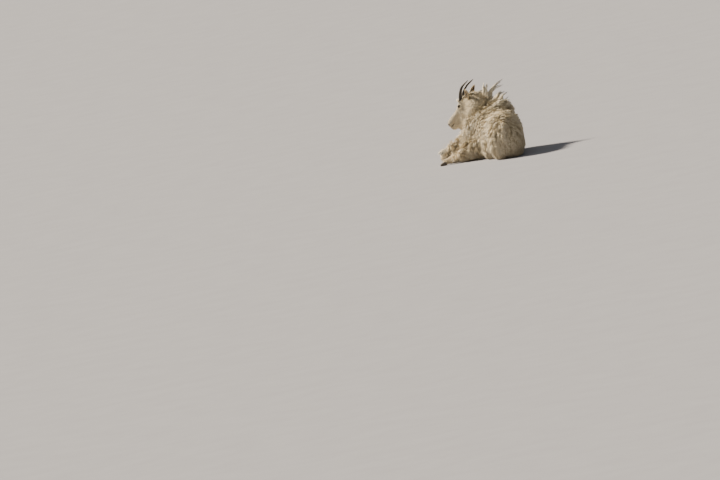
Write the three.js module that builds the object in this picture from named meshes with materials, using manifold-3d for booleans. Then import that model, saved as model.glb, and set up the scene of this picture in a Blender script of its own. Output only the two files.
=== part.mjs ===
import * as THREE from "three";
import { ConvexGeometry } from "three/addons/geometries/ConvexGeometry.js";
import { mergeVertices } from "three/addons/utils/BufferGeometryUtils.js";
import Module from "manifold-3d";

// A mountain goat lying on a level floor with its rump towards the viewer, its body curved to its
// left and its head turned in left profile. Millimetres, +Z up, +X to the viewer's right, +Y away
// from the viewer. Every place below is worked out from the headings and sizes named here.

// Driving dimensions
const GAP = 0.35; // clearance between pieces that touch
const COAT_DEPTH = 40; // from the skin to the outside of the trunk's coat
const COAT_CORE = COAT_DEPTH / 2; // the dense undercoat that the locks are rooted in
const LOCK = { length: 218, width: 104, thick: 19, rootDepth: 14 };
const HIP = { x: 262, y: -285, heading: -3, halfWidth: 132, top: 378 };
const WITHERS = { x: 222, y: 222, heading: 52, top: 498 };
const BELLY_HEIGHT = 205; // middle of the barrel above the floor
const NECK_RADIUS = 118;
const SKULL = { x: 11, y: 378, z: 546, heading: 70, pitch: 41.5, roll: 5 };
const EYE_RADIUS = 17;
const HORN = { baseRadius: 11, tipRadius: 1.1 };
const EAR = { length: 138, width: 50 };
const HOOF = { length: 62, width: 27, height: 46, toe: 20 };
const TAIL_LENGTH = 125;
const BODY_CELL = 47; // spacing of the grid that the body's surface is found on
const HEAD_CELL = 19;
const FINEST = 0.08; // creases and slivers finer than this are smoothed away

const wasm = await Module();
wasm.setup();

const vec = (x, y, z) => new THREE.Vector3(x, y, z);
const mix = THREE.MathUtils.lerp;
const radians = THREE.MathUtils.degToRad;

// A frame of axes: forward, left and up, with its origin. Heading turns forward from +Y towards -X,
// pitch tips it down and roll raises its left side.
function makeFrame({ x, y, z = 0, heading, pitch = 0, roll = 0 }) {
  const [h, p, r] = [radians(heading), radians(pitch), radians(roll)];
  const flat = vec(-Math.sin(h), Math.cos(h), 0);
  const up = vec(0, 0, 1);
  const forward = flat.clone().multiplyScalar(Math.cos(p)).addScaledVector(up, -Math.sin(p));
  const level = flat.clone().multiplyScalar(Math.sin(p)).addScaledVector(up, Math.cos(p));
  const side = level.clone().cross(forward);
  const left = side.clone().multiplyScalar(Math.cos(r)).addScaledVector(level, Math.sin(r));
  const top = level.clone().multiplyScalar(Math.cos(r)).addScaledVector(side, -Math.sin(r));
  const matrix = new THREE.Matrix4().makeBasis(forward, left, top).setPosition(x, y, z);
  return { matrix, inverse: matrix.clone().invert(), forward, left, up: top };
}

const place = (frame, f, l, u) => vec(f, l, u).applyMatrix4(frame.matrix);

// Distance fields. Each is a function of a point: negative inside, in millimetres.
function ellipsoid(frame, centre, radii) {
  const [rf, rl, ru] = radii;
  const q = vec(0, 0, 0);
  return (p) => {
    q.copy(p).applyMatrix4(frame.inverse).sub(centre);
    const near = Math.hypot(q.x / rf, q.y / rl, q.z / ru);
    const slope = Math.hypot(q.x / rf ** 2, q.y / rl ** 2, q.z / ru ** 2);
    return near < 1e-6 ? -Math.min(rf, rl, ru) : (near * (near - 1)) / slope;
  };
}

function roundCone(a, b, ra, rb) {
  const axis = b.clone().sub(a);
  const square = axis.lengthSq();
  const q = vec(0, 0, 0);
  return (p) => {
    const t = THREE.MathUtils.clamp(q.copy(p).sub(a).dot(axis) / square, 0, 1);
    return q.addScaledVector(axis, -t).length() - mix(ra, rb, t);
  };
}

// The smooth union of several fields, blended over a width.
function blend(width, ...fields) {
  return (p) => {
    let d = fields[0](p);
    for (const field of fields.slice(1)) {
      const e = field(p);
      const h = Math.max(width - Math.abs(d - e), 0) / width;
      d = Math.min(d, e) - (h * h * width) / 4;
    }
    return d;
  };
}

// The surface of a field as a closed mesh: one vertex in each grid cell that the surface crosses,
// and one quad across each grid edge that it crosses.
function surfaceOf(field, box, cell) {
  const size = box.getSize(vec(0, 0, 0)).divideScalar(cell);
  const n = [size.x, size.y, size.z].map((s) => Math.ceil(s) + 1);
  const at = (i, j, k) => vec(i, j, k).multiplyScalar(cell).add(box.min);
  const index = (i, j, k) => (k * n[1] + j) * n[0] + i;
  const value = new Float32Array(n[0] * n[1] * n[2]);
  for (let k = 0; k < n[2]; k++)
    for (let j = 0; j < n[1]; j++)
      for (let i = 0; i < n[0]; i++) value[index(i, j, k)] = field(at(i, j, k));
  const corners = [];
  for (let c = 0; c < 8; c++) corners.push([c & 1, (c >> 1) & 1, c >> 2]);
  const apart = (a, b) => Math.abs(a[0] - b[0]) + Math.abs(a[1] - b[1]) + Math.abs(a[2] - b[2]);
  const edges = corners.flatMap((a, i) =>
    corners.slice(i + 1).filter((b) => apart(a, b) === 1).map((b) => [a, b]),
  );
  const vertexOf = new Map();
  const positions = [];
  for (let k = 0; k + 1 < n[2]; k++)
    for (let j = 0; j + 1 < n[1]; j++)
      for (let i = 0; i + 1 < n[0]; i++) {
        const sum = vec(0, 0, 0);
        let crossings = 0;
        for (const [a, b] of edges) {
          const va = value[index(i + a[0], j + a[1], k + a[2])];
          const vb = value[index(i + b[0], j + b[1], k + b[2])];
          if (va < 0 === vb < 0) continue;
          const t = va / (va - vb);
          sum.add(at(i + mix(a[0], b[0], t), j + mix(a[1], b[1], t), k + mix(a[2], b[2], t)));
          crossings++;
        }
        if (!crossings) continue;
        sum.divideScalar(crossings);
        vertexOf.set(index(i, j, k), positions.length / 3);
        positions.push(sum.x, sum.y, sum.z);
      }
  const faces = [];
  const step = [[1, 0, 0], [0, 1, 0], [0, 0, 1]];
  for (let k = 1; k + 1 < n[2]; k++)
    for (let j = 1; j + 1 < n[1]; j++)
      for (let i = 1; i + 1 < n[0]; i++)
        for (let axis = 0; axis < 3; axis++) {
          const va = value[index(i, j, k)];
          const vb = value[index(i + step[axis][0], j + step[axis][1], k + step[axis][2])];
          if (va < 0 === vb < 0) continue;
          const [u, v] = [step[(axis + 1) % 3], step[(axis + 2) % 3]];
          const around = [[0, 0], [1, 0], [1, 1], [0, 1]].map(([a, b]) =>
            vertexOf.get(index(i - a * u[0] - b * v[0], j - a * u[1] - b * v[1], k - a * u[2] - b * v[2])),
          );
          if (va >= 0) around.reverse();
          faces.push(around[0], around[1], around[2], around[0], around[2], around[3]);
        }
  return { positions, faces };
}

// A closed mesh through rings of points, each ring of equal length, with its ends closed by a point
// in their middle.
function loft(rings) {
  const sides = rings[0].length;
  const positions = rings.flat().flatMap((p) => p.toArray());
  const middle = (ring) => ring.reduce((sum, p) => sum.add(p), vec(0, 0, 0)).divideScalar(sides);
  positions.push(...middle(rings[0]).toArray(), ...middle(rings.at(-1)).toArray());
  const [first, last] = [rings.length * sides, rings.length * sides + 1];
  const faces = [];
  for (let i = 0; i < sides; i++) {
    const j = (i + 1) % sides;
    for (let r = 0; r + 1 < rings.length; r++) {
      const [a, b, c, d] = [r * sides + i, r * sides + j, (r + 1) * sides + j, (r + 1) * sides + i];
      faces.push(a, b, c, a, c, d);
    }
    const end = (rings.length - 1) * sides;
    faces.push(first, j, i, last, end + i, end + j);
  }
  return { positions, faces };
}

// A manifold solid from a mesh of positions and faces, turned right side out.
function solidOf({ positions, faces }) {
  const geometry = new THREE.BufferGeometry();
  geometry.setAttribute("position", new THREE.Float32BufferAttribute(positions, 3));
  geometry.setIndex(faces);
  const merged = mergeVertices(geometry, 1e-3);
  const triVerts = new Uint32Array(merged.index.array);
  const vertProperties = new Float32Array(merged.attributes.position.array);
  const made = new wasm.Manifold(new wasm.Mesh({ numProp: 3, vertProperties, triVerts }));
  if (made.volume() > 0) return made;
  for (let i = 0; i < triVerts.length; i += 3)
    [triVerts[i], triVerts[i + 1]] = [triVerts[i + 1], triVerts[i]];
  return new wasm.Manifold(new wasm.Mesh({ numProp: 3, vertProperties, triVerts }));
}

// A mesh with every vertex moved out along its normal
function offset({ positions, faces }, distance) {
  const geometry = new THREE.BufferGeometry();
  geometry.setAttribute("position", new THREE.Float32BufferAttribute(positions, 3));
  geometry.setIndex(faces);
  geometry.computeVertexNormals();
  const normal = geometry.attributes.normal.array;
  return { positions: positions.map((x, i) => x + normal[i] * distance), faces };
}

const join = (solids) => solids.reduce((sum, solid) => sum.add(solid));
const largest = (solid) => solid.decompose().reduce((a, b) => (a.volume() > b.volume() ? a : b));

function geometryOf(solid) {
  const { vertProperties, triVerts, numProp } = solid.getMesh();
  const geometry = new THREE.BufferGeometry();
  const position = new Float32Array((vertProperties.length / numProp) * 3);
  for (let i = 0; i * 3 < position.length; i++)
    position.set(vertProperties.subarray(i * numProp, i * numProp + 3), i * 3);
  geometry.setAttribute("position", new THREE.BufferAttribute(position, 3));
  geometry.setIndex(new THREE.BufferAttribute(triVerts, 1));
  return geometry;
}

// Rings of points through sections of { p, wide, thick, across }: each an ellipse of sides points,
// its wide axis along across.
function ringsOf(sections, sides, grow = 0) {
  return sections.map(({ p, wide, thick, across }, i) => {
    const before = sections[Math.max(i - 1, 0)].p;
    const after = sections[Math.min(i + 1, sections.length - 1)].p;
    const along = after.clone().sub(before).normalize();
    const side = across.clone().addScaledVector(along, -across.dot(along)).normalize();
    const over = along.clone().cross(side);
    const ring = [];
    for (let k = 0; k < sides; k++) {
      const angle = (2 * Math.PI * k) / sides;
      const point = p.clone().addScaledVector(side, Math.cos(angle) * (wide + grow));
      ring.push(point.addScaledVector(over, Math.sin(angle) * (thick + grow)));
    }
    return ring;
  });
}

const tube = (sections, sides, grow) => loft(ringsOf(sections, sides, grow));

// A convex solid round all the points
function hullOf(points) {
  const { position } = new ConvexGeometry(points).attributes;
  return solidOf({ positions: [...position.array], faces: [...Array(position.count).keys()] });
}

// Both halves of space on either side of a plane, a gap apart, as boxes that reach past the body.
// A negative gap lets them overlap.
function halves(point, normal, gap = GAP) {
  const reach = 3000;
  const turn = new THREE.Quaternion().setFromUnitVectors(vec(0, 0, 1), normal.clone().normalize());
  return [-1, 1].map((side) => {
    const box = new THREE.BoxGeometry(reach, reach, reach);
    box.translate(0, 0, side * (reach + gap) / 2).applyQuaternion(turn);
    box.translate(point.x, point.y, point.z);
    box.deleteAttribute("normal").deleteAttribute("uv");
    return solidOf({ positions: [...box.attributes.position.array], faces: [...box.index.array] });
  });
}

// Frames of the hindquarters, the forequarters and the head
const hind = makeFrame({ x: HIP.x, y: HIP.y, heading: HIP.heading });
const fore = makeFrame({ x: WITHERS.x, y: WITHERS.y, heading: WITHERS.heading });
const skull = makeFrame(SKULL);

// The trunk, neck and upper legs as one smooth body
const onHind = (f, l, u) => place(hind, f, l, u);
const onFore = (f, l, u) => place(fore, f, l, u);
const onSkull = (f, l, u) => place(skull, f, l, u);
const NECK_MIDDLE = vec(72, 350, 478);
const middleHeading = mix(HIP.heading, WITHERS.heading, 0.5);
const middle = makeFrame({
  x: mix(HIP.x, WITHERS.x, 0.62) - 10,
  y: mix(HIP.y, WITHERS.y, 0.66),
  heading: middleHeading,
});

function bodyField(grow) {
  const size = (...radii) => radii.map((r) => r + grow);
  const w = HIP.halfWidth;
  const rump = ellipsoid(hind, vec(-20, 6, HIP.top - 170), size(158, w - 12, 170));
  const haunch = (side) =>
    ellipsoid(hind, vec(-10, side * (w - 72), 118), size(158, 72, 128));
  const loin = ellipsoid(hind, vec(170, 8, BELLY_HEIGHT + 14), size(200, w + 10, 165));
  const flank = ellipsoid(hind, vec(215, w - 15, 92), size(160, 96, 118));
  const barrel = ellipsoid(middle, vec(30, 14, BELLY_HEIGHT + 6), size(215, 165, 200));
  const thorax = ellipsoid(fore, vec(0, 22, 232), size(185, 158, 222));
  const hump = ellipsoid(fore, vec(-12, -8, WITHERS.top - 98), size(138, 66, 98));
  const chest = ellipsoid(fore, vec(170, 30, 205), size(150, 132, 172));
  const breast = ellipsoid(fore, vec(268, 34, 160), size(92, 100, 130));
  const shoulder = (side) =>
    ellipsoid(fore, vec(150, 20 + side * 100, 200), size(105, 66, 160));
  const arm = roundCone(vec(95, 95, 100), vec(-148, 170, 68), 92 + grow, 50 + grow);
  const farArm = roundCone(vec(-20, 395, 150), vec(-288, 428, 90), 66 + grow, 34 + grow);
  const ruff = ellipsoid(skull, vec(150, 0, -86), size(122, 34, 44));
  const neck = [
    roundCone(onFore(120, 10, 335), NECK_MIDDLE, NECK_RADIUS + grow, NECK_RADIUS * 0.82 + grow),
    roundCone(NECK_MIDDLE, onSkull(-22, 0, -18), NECK_RADIUS * 0.82 + grow, 44 + grow),
  ];
  const trunk = blend(
    70, rump, haunch(1), haunch(-1), loin, flank, barrel, thorax, hump, chest, breast,
    shoulder(1), shoulder(-1), arm, farArm,
  );
  return blend(26, trunk, blend(70, ruff, ...neck));
}

// The head without its ears, eyes and horns
const SIDES = [["left", 1], ["right", -1]];
const EYE = { f: 98, l: 50, u: 29 };
const EAR_ROOT = { f: 2, l: 54, u: 9 };

function headField() {
  const at = (f, l, u, ...radii) => ellipsoid(skull, vec(f, l, u), radii);
  const cone = (a, b, ra, rb) => roundCone(onSkull(...a), onSkull(...b), ra, rb);
  const muzzle = [
    cone([80, 0, 8], [250, 0, 8], 46, 29),
    cone([235, 0, 8], [290, 0, 8], 30, 27),
    at(290, 0, 6, 28, 30, 28),
    at(306, 0, -14, 20, 24, 20),
    cone([150, 0, -38], [280, 0, -42], 30, 22),
    at(298, 0, -40, 28, 22, 25),
  ];
  const cheeks = [1, -1].map((side) => at(95, side * 26, -34, 70, 32, 52));
  const brows = [1, -1].map((side) => at(100, side * 34, 28, 34, 22, 20));
  const cranium = at(38, 0, 4, 72, 58, 58);
  const throat = cone([20, 0, -45], [150, 0, -46], 50, 26);
  return blend(26, cranium, throat, ...muzzle, ...cheeks, ...brows);
}

function boxAround(points, margin) {
  return new THREE.Box3().setFromPoints(points).expandByScalar(margin);
}

function makeHead(grow) {
  const box = boxAround([onSkull(-40, 0, 0), onSkull(340, 0, 0)], 125);
  const surface = surfaceOf(headField(), box, HEAD_CELL);
  const ruff = coated("head", grow);
  const hair = join([ruff, ...forelock(grow)]);
  if (grow) return solidOf(offset(surface, 1.5 * grow)).add(hair);
  const face = solidOf(surface).intersect(halves(NAPE, NAPE_NORMAL)[1]);
  let head = face.add(hair).subtract(mouthLine());
  for (const [, side] of SIDES) {
    head = head.subtract(nostril(side)).add(eyelids(side));
    head = head.subtract(eyeball(side, GAP));
  }
  return head;
}

// A curved slit round the front of the muzzle, between the lips
function mouthLine() {
  const corner = { f: 262, l: 34, u: -27 };
  const front = { f: 330, u: -20 };
  const sections = [];
  const steps = 12;
  for (let i = 0; i <= steps; i++) {
    const angle = Math.PI * (i / steps - 0.5);
    const p = onSkull(
      mix(corner.f, front.f, Math.cos(angle)),
      corner.l * Math.sin(angle),
      mix(corner.u, front.u, Math.cos(angle)),
    );
    sections.push({ p, wide: 7, thick: 1.8, across: skull.forward });
  }
  return solidOf(tube(sections, 6));
}

function nostril(side) {
  const sections = [[308, 9, 24, 5], [312, 16, 20, 7], [308, 24, 14, 4]].map(([f, l, u, r]) => ({
    p: onSkull(f, side * l, u),
    wide: r,
    thick: r * 0.6,
    across: skull.up,
  }));
  return solidOf(tube(sections, 6));
}

// The plane behind the ears and the angle of the jaw, where the head meets the neck
const NAPE = onSkull(-36, 0, 38);
const NAPE_NORMAL = skull.forward.clone().multiplyScalar(0.73).addScaledVector(skull.up, 0.68);

const eyeCentre = (side) => onSkull(EYE.f, side * EYE.l, EYE.u);

function eyeball(side, grow) {
  const globe = new THREE.SphereGeometry(EYE_RADIUS + grow, 12, 8);
  globe.translate(...eyeCentre(side).toArray()).deleteAttribute("normal").deleteAttribute("uv");
  const merged = mergeVertices(globe, 1e-3);
  return solidOf({
    positions: [...merged.attributes.position.array],
    faces: [...merged.index.array],
  });
}

// Upper and lower lid: two thin crescents over the globe, meeting at the corners of the eye
function eyelids(side) {
  const centre = eyeCentre(side);
  const lids = [0.52, -0.62].map((open) => {
    const sections = [];
    const steps = 6;
    for (let i = 0; i <= steps; i++) {
      const turn = mix(-1.25, 1.25, i / steps);
      const lift = open * Math.cos((turn / 1.25) * (Math.PI / 2));
      const out = skull.left.clone().multiplyScalar(side * Math.cos(lift) * Math.cos(turn));
      out.addScaledVector(skull.forward, Math.sin(turn) * Math.cos(lift));
      out.addScaledVector(skull.up, Math.sin(lift));
      const p = centre.clone().addScaledVector(out, EYE_RADIUS + 0.5);
      sections.push({ p, wide: 4.2, thick: 3.2, across: skull.up });
    }
    return solidOf(tube(sections, 6));
  });
  return join(lids);
}

// A horn: slim, nearly as thick half way up as at its base, sweeping back in one smooth curve
const HORN_LINE = [[47, 22, 20], [55, 30, 56], [-4, 39, 100], [-71, 55, 119], [-157, 65, 107]];

function makeHorn(side, grow) {
  const curve = new THREE.CatmullRomCurve3(HORN_LINE.map(([f, l, u]) => onSkull(f, side * l, u)));
  const sections = [];
  const steps = 10;
  for (let i = 0; i <= steps; i++) {
    const t = i / steps;
    const r = HORN.baseRadius * (1 - t ** 1.8) ** 0.6 + HORN.tipRadius;
    sections.push({ p: curve.getPoint(t), wide: r * 1.12, thick: r * 0.92, across: skull.forward });
  }
  return solidOf(tube(sections, 9, grow));
}

// An ear: a pointed leaf. The left one is cupped outwards and the right one backwards.
const EAR_AIM = {
  left: { f: -0.67, l: 0.67, u: 0.31, cup: { f: 0.18, l: 0.92, u: 0.35 } },
  right: { f: -0.8, l: 0.36, u: 0.47, cup: { f: -0.61, l: -0.42, u: -0.67 } },
};

function makeEar(name, side, grow) {
  const aim = EAR_AIM[name];
  const turned = (v) => skull.forward.clone().multiplyScalar(v.f)
    .addScaledVector(skull.left, side * v.l).addScaledVector(skull.up, v.u).normalize();
  const along = turned(aim);
  const open = turned(aim.cup);
  open.addScaledVector(along, -open.dot(along)).normalize();
  const across = along.clone().cross(open);
  const root = onSkull(EAR_ROOT.f, side * EAR_ROOT.l, EAR_ROOT.u);
  const leaf = (inset, lift) => {
    const sections = [];
    const steps = 6;
    for (let i = 0; i <= steps; i++) {
      const t = mix(inset ? 0.16 : -0.14, inset ? 0.93 : 1, i / steps);
      const leafWidth = EAR.width * 0.5 * Math.sin(Math.PI * Math.min(0.985, 0.24 + 0.72 * t)) ** 0.9;
      const p = root.clone().addScaledVector(along, t * EAR.length);
      p.addScaledVector(open, lift - 10 * Math.sin(Math.PI * t));
      const wide = Math.max(leafWidth - inset, 1);
      sections.push({ p, wide, thick: Math.max(wide * 0.42, 1.4), across });
    }
    return solidOf(tube(sections, 8, inset ? 0 : grow));
  };
  return grow ? leaf(0, 0) : leaf(0, 0).subtract(leaf(5, 8));
}

// Lower legs: tapered tubes from joint to joint. Joints lie in world coordinates, on the floor.
const KNUCKLE = 1.12; // how much wider a joint is than the shaft
const JOINTS = {
  front_left: [[75, 150, 92], [-132, 176, 44], [-272, 196, 34], [-322, 201, 30]],
  front_right: [[-80, 400, 130], [-328, 430, 66], [-190, 452, 34], [-138, 458, 30]],
  hind_left: [[120, -110, 92], [206, -378, 50], [152, -240, 34], [142, -186, 30]],
  hind_right: [[372, -110, 90], [320, -372, 50], [350, -206, 34], [354, -152, 30]],
};
const LEG_PIECES = { front: ["forearm", "cannon", "pastern"], hind: ["shank", "cannon", "pastern"] };
const LEG_RADII = {
  front: [[44, 32], [32, 27], [27, 26]],
  hind: [[46, 27], [26, 22], [22, 24]],
};

function shaft(a, b, [ra, rb], grow) {
  const axis = b.clone().sub(a).normalize();
  const sections = [];
  const steps = 3;
  for (let i = 0; i <= steps; i++) {
    const t = i / steps;
    const p = a.clone().lerp(b, t).addScaledVector(axis, mix(-grow, grow, t));
    const waist = 1 - 0.14 * Math.sin(Math.PI * t);
    const wide = mix(ra, rb, t) * waist * (i === 0 || i === steps ? 1 : KNUCKLE);
    sections.push({ p, wide, thick: wide * 0.86, across: vec(0, 0, 1) });
  }
  return solidOf(tube(sections, 8, grow));
}

// Locks around a shaft, lying along it towards the hoof and hanging over the floor
const LEG_LOCK = { length: 110, width: 74, thick: 13, around: 3 };

function legLocks(a, b, [ra, rb], grow) {
  const along = b.clone().sub(a).normalize();
  const over = vec(0, 0, 1).addScaledVector(along, -along.z).normalize();
  const side = along.clone().cross(over);
  const reach = a.distanceTo(b);
  const rows = Math.round(reach / (LEG_LOCK.length * 0.62));
  const locks = [];
  for (let row = 0; row < rows; row++)
    for (let k = 0; k < LEG_LOCK.around; k++) {
      const angle = ((k + 0.5 * (row % 2)) / LEG_LOCK.around) * 2 * Math.PI;
      const out = over.clone().multiplyScalar(Math.cos(angle)).addScaledVector(side, Math.sin(angle));
      if (out.z < -0.6) continue;
      const start = (row + 0.15) / rows;
      const radius = mix(ra, rb, start);
      const points = [-8, 8, 13, 17].map((lift, i) => {
        const p = a.clone().lerp(b, start).addScaledVector(along, (LEG_LOCK.length * i) / 3);
        p.addScaledVector(out, radius * 0.9 + lift);
        p.z = Math.max(p.z - 3 * i, 4);
        return p;
      });
      locks.push(lock(points, points.map(() => out), LEG_LOCK.width, LEG_LOCK.thick, grow));
    }
  return locks;
}

function makeLeg(name, side) {
  const end = name.split("_")[0];
  const joints = JOINTS[name].map((j) => vec(...j));
  const names = LEG_PIECES[end];
  return names.map((piece, i) => ({
    name: `${end}_${piece}_${side}`,
    make: (grow) => {
      const bone = [joints[i], joints[i + 1], LEG_RADII[end][i], grow];
      return join([shaft(...bone), ...(end === "front" && piece === "cannon" ? legLocks(...bone) : [])]);
    },
  }));
}

// A cloven hoof: two claws side by side, each a wedge with a flat sole on the floor
function makeClaws(name, side) {
  const joints = JOINTS[name].map((j) => vec(...j));
  const [fetlock, coronet] = joints.slice(-2);
  const along = coronet.clone().sub(fetlock).setZ(0).normalize();
  const across = vec(0, 0, 1).cross(along);
  const claw = (which, grow) => {
    const offset = which * (HOOF.width / 2 + GAP);
    const rings = [0, 0.45, 1].map((t) => {
      const length = mix(-grow, HOOF.length + grow, t);
      const top = mix(HOOF.height, HOOF.toe, t) + grow;
      const half = mix(HOOF.width / 2, HOOF.width * 0.3, t * t) + grow;
      const centre = coronet.clone().addScaledVector(along, length - 6)
        .addScaledVector(across, offset - which * t * t * 3).setZ(0);
      const corner = (a, z) => centre.clone().addScaledVector(across, a).setZ(z);
      return [corner(-half, 0), corner(half, 0), corner(half * 0.9, top * 0.6),
        corner(half * 0.5, top), corner(-half * 0.5, top), corner(-half * 0.9, top * 0.6)];
    });
    return solidOf(loft(rings));
  };
  const end = name.split("_")[0];
  return [["outer", 1], ["inner", -1]].map(([row, which]) => ({
    name: `${end}_claw_${row}_${side}`,
    make: (grow) => claw(which, grow),
  }));
}

// A short tail with three locks that hang down its back
function makeTail(grow) {
  const root = onHind(-172, 0, HIP.top - 62);
  const tip = onHind(-214, 4, HIP.top - 62 - TAIL_LENGTH);
  const dock = solidOf(tube([0, 0.25, 0.6, 1].map((t) => ({
    p: root.clone().lerp(tip, t),
    wide: mix(30, 8, t * t) + grow,
    thick: mix(22, 5, t * t) + grow,
    across: hind.left,
  })), 8));
  const back = hind.forward.clone().negate();
  const hair = [-1, 1, 0].map((side) => {
    const points = [0.05, 0.4, 0.8, 1.15].map((t, i) =>
      root.clone().lerp(tip, t).addScaledVector(hind.left, side * (12 - 3 * i))
        .addScaledVector(back, 14 - 2 * i),
    );
    return lock(points, points.map(() => back), 38, 16, grow);
  });
  return join([dock, ...hair]);
}

// Small numbers that look random and are the same each time
function seeded(seed) {
  let state = seed;
  return () => {
    state = (state * 1664525 + 1013904223) % 4294967296;
    return state / 4294967296;
  };
}

function normalAt(field, p) {
  const h = 3;
  const slope = (x, y, z) => field(vec(p.x + x, p.y + y, p.z + z)) - field(vec(p.x - x, p.y - y, p.z - z));
  return vec(slope(h, 0, 0), slope(0, h, 0), slope(0, 0, h)).normalize();
}

// A flat tapered lock through points on its middle line, from its sunken root to its tip. It has a
// flat underside and a ridge along its outer side.
const LOCK_TAPER = [0.7, 1, 0.72, 0.05];

function lock(points, outwards, width, thick, grow) {
  const rings = ringsOf(points.map((p, i) => {
    const ridge = thick * 0.6 * LOCK_TAPER[i] + 0.5;
    const swell = 1 + (2.2 * grow) / ridge;
    const half = width * 0.58 * LOCK_TAPER[i] + 0.5;
    return { p, wide: ridge * swell, thick: half * swell, across: outwards[i] };
  }), 3);
  if (!grow) return solidOf(loft(rings));
  return join(rings.slice(1).map((ring, i) => hullOf([...rings[i], ...ring])));
}

// The way the coat lies: back along the body and down with its own weight
function lieAt(p, normal) {
  const turn = THREE.MathUtils.smoothstep(p.y, HIP.y + 150, WITHERS.y);
  const heading = radians(mix(HIP.heading, WITHERS.heading, turn));
  const lie = vec(0.62 * Math.sin(heading), -0.62 * Math.cos(heading), -0.9);
  const nearHead = 1 - THREE.MathUtils.smoothstep(p.distanceTo(onSkull(130, 0, -40)), 110, 210);
  lie.addScaledVector(skull.forward, -2 * nearHead);
  return lie.addScaledVector(normal, -lie.dot(normal)).normalize();
}

// One lock of the coat. It leaves the undercoat, lies along it, and hangs clear where the body
// turns under, down to the floor and out along it.
function coatLock(field, root, { length, width, thick, spread }) {
  const rise = [-LOCK.rootDepth, 7, 13, 21];
  const points = [];
  const outwards = [];
  let p = root.clone();
  let last = null;
  for (let i = 0; i < rise.length; i++) {
    const normal = normalAt(field, p);
    const lie = lieAt(p, normal).applyAxisAngle(normal, spread);
    const hanging = last && normal.z < -0.25;
    const along = hanging ? last : last ? last.clone().lerp(lie, 0.65).normalize() : lie;
    const level = p.clone().addScaledVector(normal, rise[i] - field(p));
    if (hanging) level.lerp(p, 0.5);
    level.z = Math.max(level.z, 0.3 * thick);
    points.push(level);
    outwards.push(last ? outwards.at(-1).clone().lerp(normal, hanging ? 0.15 : 0.5).normalize() : normal);
    last = along.clone();
    p.copy(level).addScaledVector(along, length / (rise.length - 1));
  }
  return (grow) => lock(points, outwards, width, thick, grow);
}

// Roots spread evenly over the undercoat: each keeps its own length and width clear of the others.
// None starts right behind the jaw, where the neck's locks begin.
const JAW_CLEAR = 45;

function coatRoots(field, positions) {
  const random = seeded(7);
  const candidates = [];
  for (let i = 0; i < positions.length; i += 3)
    candidates.push({ p: vec(positions[i], positions[i + 1], positions[i + 2]), order: random() });
  candidates.sort((a, b) => a.order - b.order);
  const roots = [];
  for (const { p } of candidates) {
    const normal = normalAt(field, p);
    const pastJaw = p.clone().sub(NAPE).dot(NAPE_NORMAL);
    if (p.z < 26 || normal.z < -0.5 || (pastJaw > 0 && pastJaw < JAW_CLEAR)) continue;
    const lie = lieAt(p, normal);
    const size = mix(0.72, 1, THREE.MathUtils.smoothstep(p.distanceTo(onSkull(130, 0, 0)), 120, 380));
    const crowded = roots.some((root) => {
      const d = p.clone().sub(root.p);
      const along = d.dot(lie) / (LOCK.length * 0.48 * size);
      const reach = d.addScaledVector(lie, -d.dot(lie)).length() / (LOCK.width * size);
      return Math.hypot(along, reach) < 1;
    });
    if (!crowded) roots.push({ p, size });
  }
  return roots.map(({ p, size }) => ({
    p,
    make: coatLock(field, p, {
      length: LOCK.length * size ** 2 * mix(0.86, 1.16, random()),
      width: LOCK.width * size * mix(0.86, 1.14, random()),
      thick: LOCK.thick * mix(0.9, 1.15, random()),
      spread: mix(-0.22, 0.22, random()),
    }),
  }));
}

// The mane along the crest of the neck and the withers, blown to the viewer's right. Each lock has
// the place of its root, the reach of its tip across and up, and its width.
const MANE = [
  { x: 84, y: 356, across: 64, rise: -20, width: 52 },
  { x: 124, y: 340, across: 66, rise: -14, width: 54 },
  { x: 166, y: 318, across: 2, rise: 94, width: 50 },
  { x: 178, y: 308, across: 40, rise: 84, width: 46 },
  { x: 192, y: 296, across: 152, rise: 127, width: 56 },
  { x: 186, y: 302, across: 141, rise: 74, width: 50 },
  { x: 258, y: 250, across: 84, rise: 36, width: 60 },
  { x: 292, y: 226, across: 84, rise: 20, width: 62 },
];

// The fringe along the far foreleg, which runs past its knee and ends in a point
function fringeLocks() {
  const root = vec(-196, 402, 172);
  const tip = vec(-364, 396, 102);
  return [-1.5, -0.5, 0.5, 1.5].map((row) => {
    const start = root.clone().add(vec(-8 * Math.abs(row), 17 * row, -9 * Math.abs(row)));
    const end = tip.clone().add(vec(9 * Math.abs(row), 12 * row, -8 * Math.abs(row)));
    const bow = start.clone().lerp(end, 0.6).add(vec(0, 0, 16));
    const curve = new THREE.QuadraticBezierCurve3(start, bow, end);
    const points = LOCK_TAPER.map((_, i) => curve.getPoint(i / (LOCK_TAPER.length - 1)));
    points[0].z -= LOCK.rootDepth + 20;
    const outwards = points.map(() => vec(-0.3, 0.2 * row, 1));
    return { p: root, make: (grow) => lock(points, outwards, 46, 16, grow) };
  });
}

// Locks that stand on the forehead before the horns
function forelock(grow) {
  return [-16, 0, 16].map((l) => {
    const ends = [[66, l, 34], [66, l * 1.1, 62], [62, l * 1.4, 78], [54, l * 1.6, 92]];
    const points = ends.map((p) => onSkull(...p));
    return lock(points, points.map(() => skull.forward), 30, 14, grow);
  });
}

// Height of the body's surface over a place on the floor
function topOf(field, x, y) {
  let z = 720;
  while (field(vec(x, y, z)) > 0.5) z -= Math.max(field(vec(x, y, z)) * 0.8, 0.4);
  return z;
}

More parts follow.
